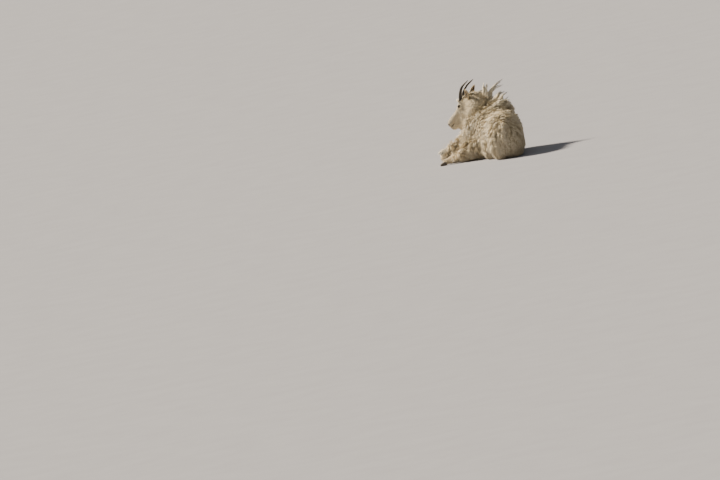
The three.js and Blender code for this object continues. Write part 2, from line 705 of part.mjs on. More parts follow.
function maneLocks(field) {
  return MANE.map(({ x, y, across, rise, width }) => {
    const root = vec(x - 6, y, topOf(field, x, y) - 14);
    const bow = root.clone().add(vec(across * 0.15, -4, (rise + 30) * 0.62));
    const tip = root.clone().add(vec(across + 6, -10, rise + 30));
    const curve = new THREE.QuadraticBezierCurve3(root, bow, tip);
    const points = LOCK_TAPER.map((_, i) => curve.getPoint(i / (LOCK_TAPER.length - 1)));
    const outwards = points.map(() => vec(0, -1, 0.3));
    return { p: vec(x, y, root.z), make: (grow) => lock(points, outwards, width, 20, grow) };
  });
}

// Assembly. Every solid is listed from the one that is kept whole to the one that yields, and each
// is cut clear of those before it.
const floor = (solid) => solid.intersect(halves(vec(0, 0, -GAP / 2), vec(0, 0, 1))[1]);

const bodyBox = boxAround([vec(-345, -560, -60), vec(500, 560, 640)], 2 * BODY_CELL);
const bodyCore = bodyField(COAT_CORE);
const coreMesh = surfaceOf(bodyCore, bodyBox, BODY_CELL);

// The undercoat's solids by name. Grown ones lap over the planes that part them, by less than the
// gap, so that they trim a neighbour's locks and leave its faces alone.
const neckAxis = onFore(225, -15, 470).sub(onFore(120, 10, 335)).normalize();
const PLANES = {
  loin: [onHind(130, 0, 0), hind.forward],
  girth: [onFore(12, 0, 0), fore.forward],
  collar: [onFore(175, 0, 405), neckAxis],
  nape: [NAPE, NAPE_NORMAL],
  leftShoulder: [onFore(0, 96, 0), fore.left],
  rightShoulder: [onFore(0, -62, 0), fore.left],
  leftThigh: [onHind(0, 74, 0), hind.left],
  rightThigh: [onHind(0, -74, 0), hind.left],
};

function partBody(grow) {
  const whole = floor(solidOf(grow ? offset(coreMesh, 1.3 * grow) : coreMesh));
  const cut = (solid, plane) => {
    const [below, above] = halves(...PLANES[plane], grow ? -0.6 * grow : GAP);
    return [solid.intersect(below), solid.intersect(above)];
  };
  const [rear, front] = cut(whole, "loin");
  const [torso, forequarters] = cut(front, "girth");
  const [trunkEnd, neckAndRuff] = cut(forequarters, "collar");
  const [neck, ruff] = cut(neckAndRuff, "nape");
  const [rightAndChest, shoulder_left] = cut(trunkEnd, "leftShoulder");
  const [shoulder_right, chest] = cut(rightAndChest, "rightShoulder");
  const [rightAndRump, thigh_left] = cut(rear, "leftThigh");
  const [thigh_right, rump] = cut(rightAndRump, "rightThigh");
  return { torso, neck, head: ruff, shoulder_left, shoulder_right, chest, thigh_left, thigh_right, rump };
}

function nodeAt(p) {
  const past = (plane) => p.clone().sub(PLANES[plane][0]).dot(PLANES[plane][1]) > 0;
  if (!past("loin")) return past("leftThigh") ? "thigh_left" : past("rightThigh") ? "rump" : "thigh_right";
  if (!past("girth")) return "torso";
  if (past("collar")) return past("nape") ? "head" : "neck";
  return past("leftShoulder") ? "shoulder_left" : past("rightShoulder") ? "chest" : "shoulder_right";
}

const BODY = { real: partBody(0), grown: partBody(GAP) };
const locks = [
  ...coatRoots(bodyCore, coreMesh.positions),
  ...maneLocks(bodyCore),
  ...fringeLocks(),
];

// One piece of the body: its undercoat with the locks that are rooted in it
function coated(name, grow) {
  const core = (grow ? BODY.grown : BODY.real)[name];
  return join([core, ...locks.filter(({ p }) => nodeAt(p) === name).map(({ make }) => make(grow))]);
}

const HAIR = { color: 0xe9dfc6, roughness: 0.95, metalness: 0 };
const DARK_HORN = { color: 0x1d1a18, roughness: 0.45, metalness: 0 };
const CLAW = { color: 0x2b2622, roughness: 0.55, metalness: 0 };
const EYE_GLOSS = { color: 0x140e09, roughness: 0.1, metalness: 0 };

const pieces = [];
const add = (name, finish, make) => pieces.push({ name, finish, make });
for (const [name, side] of SIDES) add(`eye_${name}`, EYE_GLOSS, (grow) => eyeball(side, grow));
for (const [name, side] of SIDES) add(`horn_${name}`, DARK_HORN, (grow) => makeHorn(side, grow));
for (const [name, side] of SIDES) add(`ear_${name}`, HAIR, (grow) => makeEar(name, side, grow));
add("head", HAIR, makeHead);
for (const end of ["front", "hind"])
  for (const [side] of SIDES) {
    const key = `${end}_${side}`;
    for (const claw of makeClaws(key, side)) add(claw.name, CLAW, claw.make);
    for (const piece of makeLeg(key, side).reverse()) add(piece.name, HAIR, piece.make);
  }
add("tail", HAIR, makeTail);
const COATED = [
  "neck", "shoulder_left", "chest", "shoulder_right", "torso", "thigh_left", "rump", "thigh_right",
];
for (const name of COATED) add(name, HAIR, (grow) => coated(name, grow));

const materials = new Map();
function materialOf(finish) {
  if (!materials.has(finish)) materials.set(finish, new THREE.MeshStandardMaterial(finish));
  return materials.get(finish);
}

const goat = new THREE.Group();
const kept = [];
for (const piece of pieces) {
  let solid = piece.make(0);
  const larger = piece.make(GAP);
  for (const other of kept) solid = solid.subtract(other);
  solid = largest(floor(solid)).asOriginal().simplify(FINEST);
  kept.push(larger);
  const mesh = new THREE.Mesh(geometryOf(solid), materialOf(piece.finish));
  mesh.name = piece.name;
  goat.add(mesh);
}
const bounds = new THREE.Box3().setFromObject(goat);
const centre = bounds.getCenter(vec(0, 0, 0));
goat.position.set(-centre.x, -centre.y, -bounds.min.z);

export default goat;
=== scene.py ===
"""Looks of a mountain goat at rest: one skin, a coat of solid tufts, horns, ears, eyes and hooves."""

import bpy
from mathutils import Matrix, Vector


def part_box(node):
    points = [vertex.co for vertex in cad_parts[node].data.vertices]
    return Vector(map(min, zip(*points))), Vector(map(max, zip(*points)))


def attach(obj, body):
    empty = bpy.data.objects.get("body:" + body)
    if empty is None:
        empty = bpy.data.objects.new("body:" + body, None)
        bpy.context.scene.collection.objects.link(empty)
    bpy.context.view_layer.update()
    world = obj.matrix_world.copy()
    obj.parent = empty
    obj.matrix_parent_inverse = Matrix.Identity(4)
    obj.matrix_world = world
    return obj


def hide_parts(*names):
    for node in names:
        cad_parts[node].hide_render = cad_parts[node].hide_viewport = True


bl_info = {
    "name": "Resting mountain goat",
    "version": (1, 0, 0),
    "blender": (4, 5, 0),
    "location": "3D View > Sidebar > Goat",
    "description": "Builds the skin, coat, horns, ears, eyes and hooves of a resting mountain goat",
    "category": "Object",
}

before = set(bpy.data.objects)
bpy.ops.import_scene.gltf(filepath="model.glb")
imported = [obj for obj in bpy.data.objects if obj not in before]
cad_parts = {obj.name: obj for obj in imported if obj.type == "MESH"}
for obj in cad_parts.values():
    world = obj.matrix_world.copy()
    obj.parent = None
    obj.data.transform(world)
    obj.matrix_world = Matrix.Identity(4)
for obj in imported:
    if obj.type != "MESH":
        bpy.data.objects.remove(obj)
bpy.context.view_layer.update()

import functools
import math

import bpy
import numpy as np
from mathutils import Matrix, Vector, kdtree

BODY = "root"
SEED = 11

# The goat's own measures, in millimetres in the same places as the solids
HIP = {"x": 262.0, "y": -285.0, "heading": -3.0, "half_width": 132.0, "top": 378.0}
WITHERS = {"x": 222.0, "y": 222.0, "heading": 52.0, "top": 498.0}
SKULL = {"x": 11.0, "y": 378.0, "z": 546.0, "heading": 70.0, "pitch": 41.5, "roll": 5.0}
BELLY_HEIGHT = 205.0
NECK_RADIUS = 118.0
NECK_MIDDLE = np.array([72.0, 350.0, 478.0])
SKIN_DEPTH = 9.0  # how far the skin lies out from the bare body's form
FACE_DEPTH = 0.5  # how far the face's skin lies inside the solid head
EYE = {"f": 98.0, "l": 50.0, "u": 29.0, "radius": 17.0}
EAR_ROOT = {"f": 2.0, "l": 54.0, "u": 9.0}
HORN_LINE = [(47, 22, 20), (55, 30, 56), (-4, 39, 100), (-71, 55, 119), (-157, 65, 107)]
JOINTS = {
    "front_left": [(75, 150, 92), (-132, 176, 44), (-272, 196, 34), (-322, 201, 30)],
    "front_right": [(-80, 400, 130), (-328, 430, 66), (-190, 452, 34), (-138, 458, 30)],
    "hind_left": [(120, -110, 92), (206, -378, 50), (152, -240, 34), (142, -186, 30)],
    "hind_right": [(372, -110, 90), (320, -372, 50), (350, -206, 34), (354, -152, 30)],
}
LEG_RADII = {
    "front": [(44, 32), (32, 27), (27, 26)],
    "hind": [(46, 27), (26, 22), (22, 24)],
}
HOOF = {"length": 62.0, "width": 27.0, "height": 46.0, "toe": 20.0}
SIDES = (("left", 1), ("right", -1))
# The fold on the side to which the head turns: places along it, and its half widths
FOLD = [(-31, 239, 339), (61, 201, 397), (159, 178, 452), (270, 192, 494)]
FOLD_RADII = [14.0, 20.0, 20.0, 7.0]
TRUNK_BLEND, FOLD_BLEND = 70.0, 26.0  # how softly the trunk's parts meet, and neck and trunk
FLOOR_GAP = 1.5  # how far skin and hair stay above the floor
FAR_SIDE = 536.0  # how far the hair reaches on the side turned from the viewer
FLESH = (
    "head", "neck", "torso", "chest", "shoulder_left", "shoulder_right", "thigh_left",
    "thigh_right", "rump", "tail",
)


def unit(v):
    """Vectors scaled to length one."""
    return v / np.maximum(np.linalg.norm(v, axis=-1, keepdims=True), 1e-9)


def smoothstep(x, low, high):
    """0 below low, 1 above high and a smooth change between them."""
    t = np.clip((x - low) / (high - low), 0.0, 1.0)
    return t * t * (3.0 - 2.0 * t)


def mixed(a, b, share):
    """a where share is 0, b where it is 1."""
    return a * (1 - share) + b * share


class Axes:
    """An origin with the directions forward, left and up, in millimetres."""

    def __init__(self, x, y, z=0.0, heading=0.0, pitch=0.0, roll=0.0, **_):
        h, p, r = math.radians(heading), math.radians(pitch), math.radians(roll)
        flat = np.array([-math.sin(h), math.cos(h), 0.0])
        up = np.array([0.0, 0.0, 1.0])
        self.origin = np.array([x, y, z], float)
        self.forward = flat * math.cos(p) - up * math.sin(p)
        level = flat * math.sin(p) + up * math.cos(p)
        side = np.cross(level, self.forward)
        self.left = side * math.cos(r) + level * math.sin(r)
        self.up = level * math.cos(r) - side * math.sin(r)
        self.matrix = np.stack([self.forward, self.left, self.up], 1)

    def at(self, f, l, u):
        """The place that lies f forward, l left and u up."""
        return self.origin + self.matrix @ np.array([f, l, u], float)

    def inside(self, points):
        """Points as (forward, left, up)."""
        return (points - self.origin) @ self.matrix


HIND = Axes(**HIP)
FORE = Axes(**WITHERS)
HEAD = Axes(**SKULL)
MIDDLE = Axes(
    HIP["x"] + (WITHERS["x"] - HIP["x"]) * 0.62 - 10.0,
    HIP["y"] + (WITHERS["y"] - HIP["y"]) * 0.66,
    heading=(HIP["heading"] + WITHERS["heading"]) / 2,
)
EYE_PLACES = {name: HEAD.at(EYE["f"], side * EYE["l"], EYE["u"]) for name, side in SIDES}
EAR_PLACES = {
    name: HEAD.at(EAR_ROOT["f"], side * EAR_ROOT["l"], EAR_ROOT["u"]) for name, side in SIDES
}
LOW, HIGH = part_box("eye_left")
SHIFT = np.array((LOW + HIGH) / 2) * 1000.0 - EYE_PLACES["left"]


def to_metres(points):
    """Places on the goat, in millimetres, as places in the scene."""
    return (np.asarray(points, float) + SHIFT) / 1000.0


# Distance fields, negative inside


def ellipsoid(points, axes, centre, radii):
    """Distance to an ellipsoid that lies along axes."""
    q = axes.inside(points) - np.array(centre, float)
    r = np.array(radii, float)
    near = np.linalg.norm(q / r, axis=-1)
    slope = np.maximum(np.linalg.norm(q / r**2, axis=-1), 1e-6)
    return near * (near - 1.0) / slope


def round_cone(points, a, b, ra, rb):
    """Distance to a cone with round ends of radius ra at a and rb at b."""
    a, axis = np.asarray(a, float), np.asarray(b, float) - np.asarray(a, float)
    q = points - a
    t = np.clip(q @ axis / (axis @ axis), 0.0, 1.0)
    return np.linalg.norm(q - t[..., None] * axis, axis=-1) - (ra + (rb - ra) * t)


def distance_to(points, place):
    """Distance of each point from a place."""
    return np.linalg.norm(points - np.array(place, float), axis=-1)


def blended(d, e, width):
    """The smooth union of two fields."""
    h = np.maximum(width - np.abs(d - e), 0.0) / width
    return np.minimum(d, e) - h * h * width / 4.0


def trunk_and_neck(points):
    """The trunk with the upper legs, and the neck with its ruff."""
    w = HIP["half_width"]
    parts = [
        (HIND, (-20, 6, HIP["top"] - 170), (158, w - 12, 170)),
        (HIND, (-10, w - 72, 118), (158, 72, 128)),
        (HIND, (-10, 72 - w, 118), (158, 72, 128)),
        (HIND, (170, 8, BELLY_HEIGHT + 14), (200, w + 10, 165)),
        (HIND, (215, w - 15, 92), (160, 96, 118)),
        (MIDDLE, (30, 14, BELLY_HEIGHT + 6), (215, 165, 200)),
        (FORE, (0, 22, 232), (185, 158, 222)),
        (FORE, (-12, -8, WITHERS["top"] - 98), (138, 66, 98)),
        (FORE, (170, 30, 205), (150, 132, 172)),
        (FORE, (268, 34, 160), (92, 100, 130)),
        (FORE, (150, 120, 200), (105, 66, 160)),
        (FORE, (150, -80, 200), (105, 66, 160)),
    ]
    arms = [
        ((95, 95, 100), (-148, 170, 68), 92, 50),
        ((-20, 395, 150), (-288, 428, 90), 66, 34),
    ]
    neck = [
        (FORE.at(120, 10, 335), NECK_MIDDLE, NECK_RADIUS, NECK_RADIUS * 0.82),
        (NECK_MIDDLE, HEAD.at(-22, 0, -18), NECK_RADIUS * 0.82, 44),
    ]
    trunk = None
    for axes, centre, radii in parts:
        e = ellipsoid(points, axes, centre, radii)
        trunk = e if trunk is None else blended(trunk, e, TRUNK_BLEND)
    for a, b, ra, rb in arms:
        trunk = blended(trunk, round_cone(points, a, b, ra, rb), TRUNK_BLEND)
    ruff = ellipsoid(points, HEAD, (150, 0, -86), (122, 34, 44))
    for a, b, ra, rb in neck:
        ruff = blended(ruff, round_cone(points, a, b, ra, rb), TRUNK_BLEND)
    return trunk, ruff


def body_field(points):
    """Trunk, neck and upper legs, with a fold where the neck meets the trunk."""
    return blended(*trunk_and_neck(points), FOLD_BLEND)


def head_field(points):
    """The skull, muzzle, cheeks, brows and throat."""
    at = HEAD.at
    cones = [
        ((80, 0, 8), (250, 0, 8), 46, 29),
        ((235, 0, 8), (290, 0, 8), 30, 27),
        ((150, 0, -38), (280, 0, -42), 30, 22),
        ((20, 0, -45), (150, 0, -46), 50, 26),
    ]
    balls = [
        ((38, 0, 4), (72, 58, 58)), ((290, 0, 6), (28, 30, 28)), ((306, 0, -14), (20, 24, 20)),
        ((298, 0, -40), (28, 22, 25)),
    ]
    for side in (1, -1):
        balls.append(((95, side * 26, -34), (70, 32, 52)))
        balls.append(((100, side * 34, 28), (34, 22, 20)))
    d = None
    for centre, radii in balls:
        e = ellipsoid(points, HEAD, centre, radii)
        d = e if d is None else blended(d, e, 26.0)
    for a, b, ra, rb in cones:
        d = blended(d, round_cone(points, at(*a), at(*b), ra, rb), 26.0)
    return d + FACE_DEPTH


def chain(points, places, radii):
    """Distance to a chain of round links, such as a groove or a fold."""
    d = None
    for i in range(len(places) - 1):
        e = round_cone(points, places[i], places[i + 1], radii[i], radii[i + 1])
        d = e if d is None else np.minimum(d, e)
    return d


def fold_field(points):
    """Distance to the groove between neck and shoulder."""
    return chain(points, FOLD, FOLD_RADII)


def mouth_field(points, radius):
    """Distance to the slit between the lips."""
    places = mouth_line()
    return chain(points, places, [radius] * len(places))


def mouth_line():
    """Places along the slit between the lips, from one corner round the front to the other."""
    turns = np.linspace(-math.pi / 2, math.pi / 2, 13)
    return [
        HEAD.at(260 + 66 * math.cos(a), 33 * math.sin(a), -27 + 7 * math.cos(a)) for a in turns
    ]


def nostril(side):
    """Places along a nostril's comma, and its radii there."""
    rows = [(310, 8, 22, 4.0), (312, 14, 19, 6.0), (308, 21, 14, 4.5), (300, 27, 12, 2.5)]
    return [HEAD.at(f, side * l, u) for f, l, u, _ in rows], [r for *_, r in rows]


def leg_field(points):
    """The lower legs below the body's own mass."""
    d = None
    for name, joints in JOINTS.items():
        radii = LEG_RADII[name.split("_")[0]]
        for i, (ra, rb) in enumerate(radii):
            e = round_cone(points, joints[i], joints[i + 1], ra - 3.0, rb - 3.0)
            d = e if d is None else blended(d, e, 18.0)
    return d


def tail_ends():
    """Root and tip of the tail."""
    root = HIND.at(-172, 0, HIP["top"] - 62)
    return root, HIND.at(-214, 4, HIP["top"] - 187)


def coat_field(points):
    """The bare form that the coat follows: the body with the face, the legs and the tail."""
    d = blended(body_field(points), head_field(points) + SKIN_DEPTH, 30.0)
    d = blended(d, leg_field(points) + SKIN_DEPTH, 24.0)
    root, tip = tail_ends()
    d = blended(d, round_cone(points, root, tip, 12, 5), 34.0)
    return -blended(-d, fold_field(points), 14.0)


# The opening between the lids: half its length and height, and how far it tips down to the front
LIDS = {"length": 14.5, "height": 7.6, "tilt": 14.0, "thick": 3.4}


def eye_axes(side):
    """Directions along and across the opening of an eye, and out of it."""
    a = math.radians(LIDS["tilt"])
    along = HEAD.forward * math.cos(a) - HEAD.up * math.sin(a)
    return along, HEAD.forward * math.sin(a) + HEAD.up * math.cos(a), HEAD.left * side


def with_lids(points, d):
    """Skin with a rounded lid over each eye and an almond opening in it."""
    for name, side in SIDES:
        q = points - EYE_PLACES[name]
        along, across, out = (q @ axis for axis in eye_axes(side))
        far = np.linalg.norm(q, axis=-1)
        d = blended(d, far - EYE["radius"] - LIDS["thick"], 9.0)
        half = LIDS["height"] * (1 - (along / LIDS["length"]) ** 2)
        opening = np.maximum(np.abs(across) - half, -out)
        d = np.maximum(d, -opening)
        d = np.maximum(d, EYE["radius"] + 0.4 - far)
    return d


def skin_field(points):
    """The skin, with lids, mouth and nostrils."""
    d = coat_field(points) - SKIN_DEPTH
    near = distance_to(points, HEAD.at(200, 0, 0)) < 190.0
    q = points[near]
    e = with_lids(q, d[near])
    cuts = [mouth_field(q, 2.6)]
    cuts += [chain(q, *nostril(side)) for _, side in SIDES]
    for cut in cuts:
        e = -blended(-e, cut, 3.0)
    d[near] = e
    return d


def spaced(low, high, fine_low, fine_high, fine, coarse):
    """Grid lines from low to high, close together between fine_low and fine_high."""
    before = np.linspace(low, fine_low, max(2, round((fine_low - low) / coarse)))[:-1]
    middle = np.linspace(fine_low, fine_high, max(2, round((fine_high - fine_low) / fine)))
    after = np.linspace(fine_high, high, max(2, round((high - fine_high) / coarse)))[1:]
    return np.concatenate([before, middle, after])


def surface_net(value, lines):
    """The surface where the sampled field is zero, as vertices and quads that face outwards."""
    inside = value < 0
    cells = tuple(n - 1 for n in value.shape)
    sums, edges = [], []
    for axis in range(3):
        low, high = [slice(None)] * 3, [slice(None)] * 3
        low[axis], high[axis] = slice(0, -1), slice(1, None)
        crossing = np.argwhere(inside[tuple(low)] != inside[tuple(high)])
        after = crossing.copy()
        after[:, axis] += 1
        a, b = value[tuple(crossing.T)], value[tuple(after.T)]
        t = a / (a - b)
        place = np.stack([lines[i][crossing[:, i]] for i in range(3)], 1)
        place[:, axis] += t * (lines[axis][after[:, axis]] - lines[axis][crossing[:, axis]])
        u, v = (axis + 1) % 3, (axis + 2) % 3
        round_edge = []
        for du, dv in ((0, 0), (-1, 0), (-1, -1), (0, -1)):
            cell = crossing.copy()
            cell[:, u] += du
            cell[:, v] += dv
            flat = np.ravel_multi_index(tuple(np.clip(cell, 0, np.array(cells) - 1).T), cells)
            round_edge.append(flat)
            sums.append((flat, place))
        quad = np.stack(round_edge, 1)
        quad[a >= 0] = quad[a >= 0][:, ::-1]
        edges.append(quad)
    flat = np.concatenate([f for f, _ in sums])
    place = np.concatenate([p for _, p in sums])
    used, index = np.unique(flat, return_inverse=True)
    count = np.bincount(index)
    vertices = np.stack([np.bincount(index, place[:, i]) / count for i in range(3)], 1)
    quads = np.searchsorted(used, np.concatenate(edges))
    return vertices, quads


@functools.lru_cache(maxsize=1)
def skin_surface():
    """Vertices, in millimetres, and quads of the whole skin."""
    fine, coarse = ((3.2, 8.0))
    lines = [
        spaced(-370, 480, -258, 66, fine, coarse),
        spaced(-520, 560, 285, 462, fine, coarse),
        spaced(-40, 700, 268, 618, fine, coarse),
    ]
    value = np.empty([len(line) for line in lines], np.float32)
    for i, x in enumerate(lines[0]):
        y, z = np.meshgrid(lines[1], lines[2], indexing="ij")
        points = np.stack([np.full(y.shape, x), y, z], -1)
        value[i] = skin_field(points.reshape(-1, 3)).reshape(y.shape)
    level = np.broadcast_to(lines[2][None, None, :], value.shape)
    value = np.maximum(value, FLOOR_GAP - level)  # the underside lies flat
    return surface_net(value, lines)


# Small helpers for meshes and materials


def new_object(name, mesh):
    """Links a mesh as a piece that rides on the body."""
    piece = bpy.data.objects.new(name, mesh)
    bpy.context.scene.collection.objects.link(piece)
    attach(piece, BODY)
    return piece


def mesh_of(name, vertices, faces):
    """A mesh from places in millimetres and faces of equal length."""
    faces = np.asarray(faces, np.int32)
    mesh = bpy.data.meshes.new(name)
    mesh.vertices.add(len(vertices))
    mesh.vertices.foreach_set("co", to_metres(vertices).astype(np.float32).ravel())
    mesh.loops.add(faces.size)
    mesh.loops.foreach_set("vertex_index", faces.ravel())
    mesh.polygons.add(len(faces))
    mesh.polygons.foreach_set("loop_start", np.arange(0, faces.size, faces.shape[1], dtype=np.int32))
    mesh.polygons.foreach_set("use_smooth", np.full(len(faces), True))
    mesh.update(calc_edges=True)
    mesh.validate()
    return mesh


def set_colour(mesh, name, colours):
    """Stores a colour for each vertex."""
    layer = mesh.color_attributes.new(name, "FLOAT_COLOR", "POINT")
    rgba = np.ones((len(colours), 4), np.float32)
    rgba[:, :3] = colours
    layer.data.foreach_set("color", rgba.ravel())


def set_value(mesh, name, values):
    """Stores a number for each vertex."""
    layer = mesh.attributes.new(name, "FLOAT", "POINT")
    layer.data.foreach_set("value", values.astype(np.float32))


def outwards(vertices, faces):
    """Faces turned so that they look out of the form that they close."""
    a, b, c = (vertices[faces[:, i]] - vertices[0] for i in range(3))
    return faces[:, ::-1] if np.sum(np.cross(a, b) * c) < 0 else faces


def bow_curve(root, bow, tip, steps):
    """Places along the curve from root to tip that bends towards bow."""
    return (
        (1 - steps) ** 2 * root[:, None]
        + 2 * steps * (1 - steps) * bow[:, None]
        + steps**2 * tip[:, None]
    )


def capped(rings, sides):
    """Triangles of a closed form: its rings of vertices first, then the middle of each end."""
    faces = []
    for i in range(rings - 1):
        for k in range(sides):
            a, b = i * sides + k, i * sides + (k + 1) % sides
            faces += [(a, b, b + sides), (a, b + sides, a + sides)]
    first, last, end = rings * sides, rings * sides + 1, (rings - 1) * sides
    for k in range(sides):
        j = (k + 1) % sides
        faces += [(first, j, k), (last, end + k, end + j)]
    return np.array(faces)


def tube(places, radii, sides, across):
    """A closed tube of triangles."""
    places = np.asarray(places, float)
    along = unit(np.gradient(places, axis=0))
    side = unit(across - (along @ across)[:, None] * along)
    over = np.cross(along, side)
    turn = np.linspace(0, 2 * math.pi, sides, endpoint=False)
    r = np.asarray(radii, float)[:, None, None]
    ring = places[:, None] + r * (
        side[:, None] * np.cos(turn)[:, None] + over[:, None] * np.sin(turn)[:, None]
    )
    vertices = np.concatenate([ring.reshape(-1, 3), places[:1], places[-1:]])
    return vertices, capped(len(places), sides)


def joined(parts):
    """Several (vertices, faces) as one."""
    vertices, faces, start = [], [], 0
    for v, f in parts:
        vertices.append(v)
        faces.append(np.asarray(f) + start)
        start += len(v)
    return np.concatenate(vertices), np.concatenate(faces)


def soft_noise(points, cell, seed):
    """Smooth noise from -1 to 1 that changes over about one cell."""
    lattice = np.random.default_rng(seed).uniform(-1, 1, (16, 16, 16))
    q = points / cell
    low = np.floor(q).astype(int)
    t = q - low
    t = t * t * (3 - 2 * t)
    total = np.zeros(len(points))
    for i in range(2):
        for j in range(2):
            for k in range(2):
                w = np.abs(1 - i - t[:, 0]) * np.abs(1 - j - t[:, 1]) * np.abs(1 - k - t[:, 2])
                corner = (low + (i, j, k)) % 16
                total += w * lattice[corner[:, 0], corner[:, 1], corner[:, 2]]
    return total


@functools.lru_cache(maxsize=1)
def mottle_group():
    """Shared shader group: two colours mixed by soft patches over the surface."""
    tree = bpy.data.node_groups.new("mottle", "ShaderNodeTree")
    for name, kind, value in (
        ("Light", "NodeSocketColor", (1.0, 1.0, 1.0, 1.0)),
        ("Dark", "NodeSocketColor", (0.8, 0.8, 0.8, 1.0)),
        ("Scale", "NodeSocketFloat", 30.0), ("Detail", "NodeSocketFloat", 4.0),
        ("Low", "NodeSocketFloat", 0.3), ("High", "NodeSocketFloat", 0.7),
    ):
        tree.interface.new_socket(name, in_out="INPUT", socket_type=kind).default_value = value
    tree.interface.new_socket("Color", in_out="OUTPUT", socket_type="NodeSocketColor")
    add, link = tree.nodes.new, tree.links.new
    start, end = add("NodeGroupInput"), add("NodeGroupOutput")
    place, noise = add("ShaderNodeTexCoord"), add("ShaderNodeTexNoise")
    span, blend = add("ShaderNodeMapRange"), add("ShaderNodeMix")
    blend.data_type = "RGBA"
    link(place.outputs["Object"], noise.inputs["Vector"])
    link(start.outputs["Scale"], noise.inputs["Scale"])
    link(start.outputs["Detail"], noise.inputs["Detail"])
    link(noise.outputs["Fac"], span.inputs["Value"])
    link(start.outputs["Low"], span.inputs["From Min"])
    link(start.outputs["High"], span.inputs["From Max"])
    link(span.outputs["Result"], blend.inputs[0])
    link(start.outputs["Dark"], blend.inputs[6])
    link(start.outputs["Light"], blend.inputs[7])
    link(blend.outputs[2], end.inputs["Color"])
    return tree


class Shading:
    """A material's node tree with short ways to add nodes and links."""

    def __init__(self, name):
        self.material = bpy.data.materials.new(name)
        self.material.use_nodes = True
        self.tree = self.material.node_tree
        self.shader = self.tree.nodes["Principled BSDF"]

    def add(self, kind, **values):
        node = self.tree.nodes.new(kind)
        for name, value in values.items():
            setattr(node, name, value)
        return node

    def link(self, source, target):
        self.tree.links.new(source, target)

    def attribute(self, name):
        return self.add("ShaderNodeAttribute", attribute_name=name)

    def noise(self, scale, detail):
        place = self.add("ShaderNodeTexCoord").outputs["Object"]
        node = self.add("ShaderNodeTexNoise")
        node.inputs["Scale"].default_value = scale
        node.inputs["Detail"].default_value = detail
        node.inputs["Roughness"].default_value = 0.55
        self.link(place, node.inputs["Vector"])
        return node.outputs["Fac"]

    def ramp(self, source, stops):
        node = self.add("ShaderNodeValToRGB")
        elements = node.color_ramp.elements
        while len(elements) < len(stops):
            elements.new(0.5)
        for element, (place, colour) in zip(elements, stops):
            element.position = place
            element.color = (*colour, 1.0)
        self.link(source, node.inputs["Fac"])
        return node.outputs["Color"]

    def mottle(self, dark, light, scale, detail, low=0.3, high=0.7):
        node = self.add("ShaderNodeGroup")
        node.node_tree = mottle_group()
        values = {"Dark": (*dark, 1.0), "Light": (*light, 1.0), "Scale": scale, "Detail": detail,
                  "Low": low, "High": high}
        for name, value in values.items():
            node.inputs[name].default_value = value
        return node.outputs["Color"]

    def mix(self, kind, factor, a, b):
        node = self.add("ShaderNodeMix", data_type="RGBA", blend_type=kind)
        for socket, value in ((node.inputs["Factor"], factor), (node.inputs["A"], a), (node.inputs["B"], b)):
            if hasattr(value, "is_linked"):
                self.link(value, socket)
            else:
                socket.default_value = value if isinstance(value, float) else (*value, 1.0)
        return node.outputs["Result"]

    def bump(self, height, strength, distance):
        node = self.add("ShaderNodeBump")
        node.inputs["Strength"].default_value = strength
        node.inputs["Distance"].default_value = distance
        self.link(height, node.inputs["Height"])
        self.link(node.outputs["Normal"], self.shader.inputs["Normal"])

    def plain(self, **values):
        for name, value in values.items():
            self.shader.inputs[name.replace("_", " ")].default_value = value


# Colour of skin and coat, with painted light and shade


PAINTED_FOLD_SHADE = np.array([0.44, 0.38, 0.24])  # painted shade: what the coat's colour is multiplied by in the fold, on the neck beside it and behind the ears
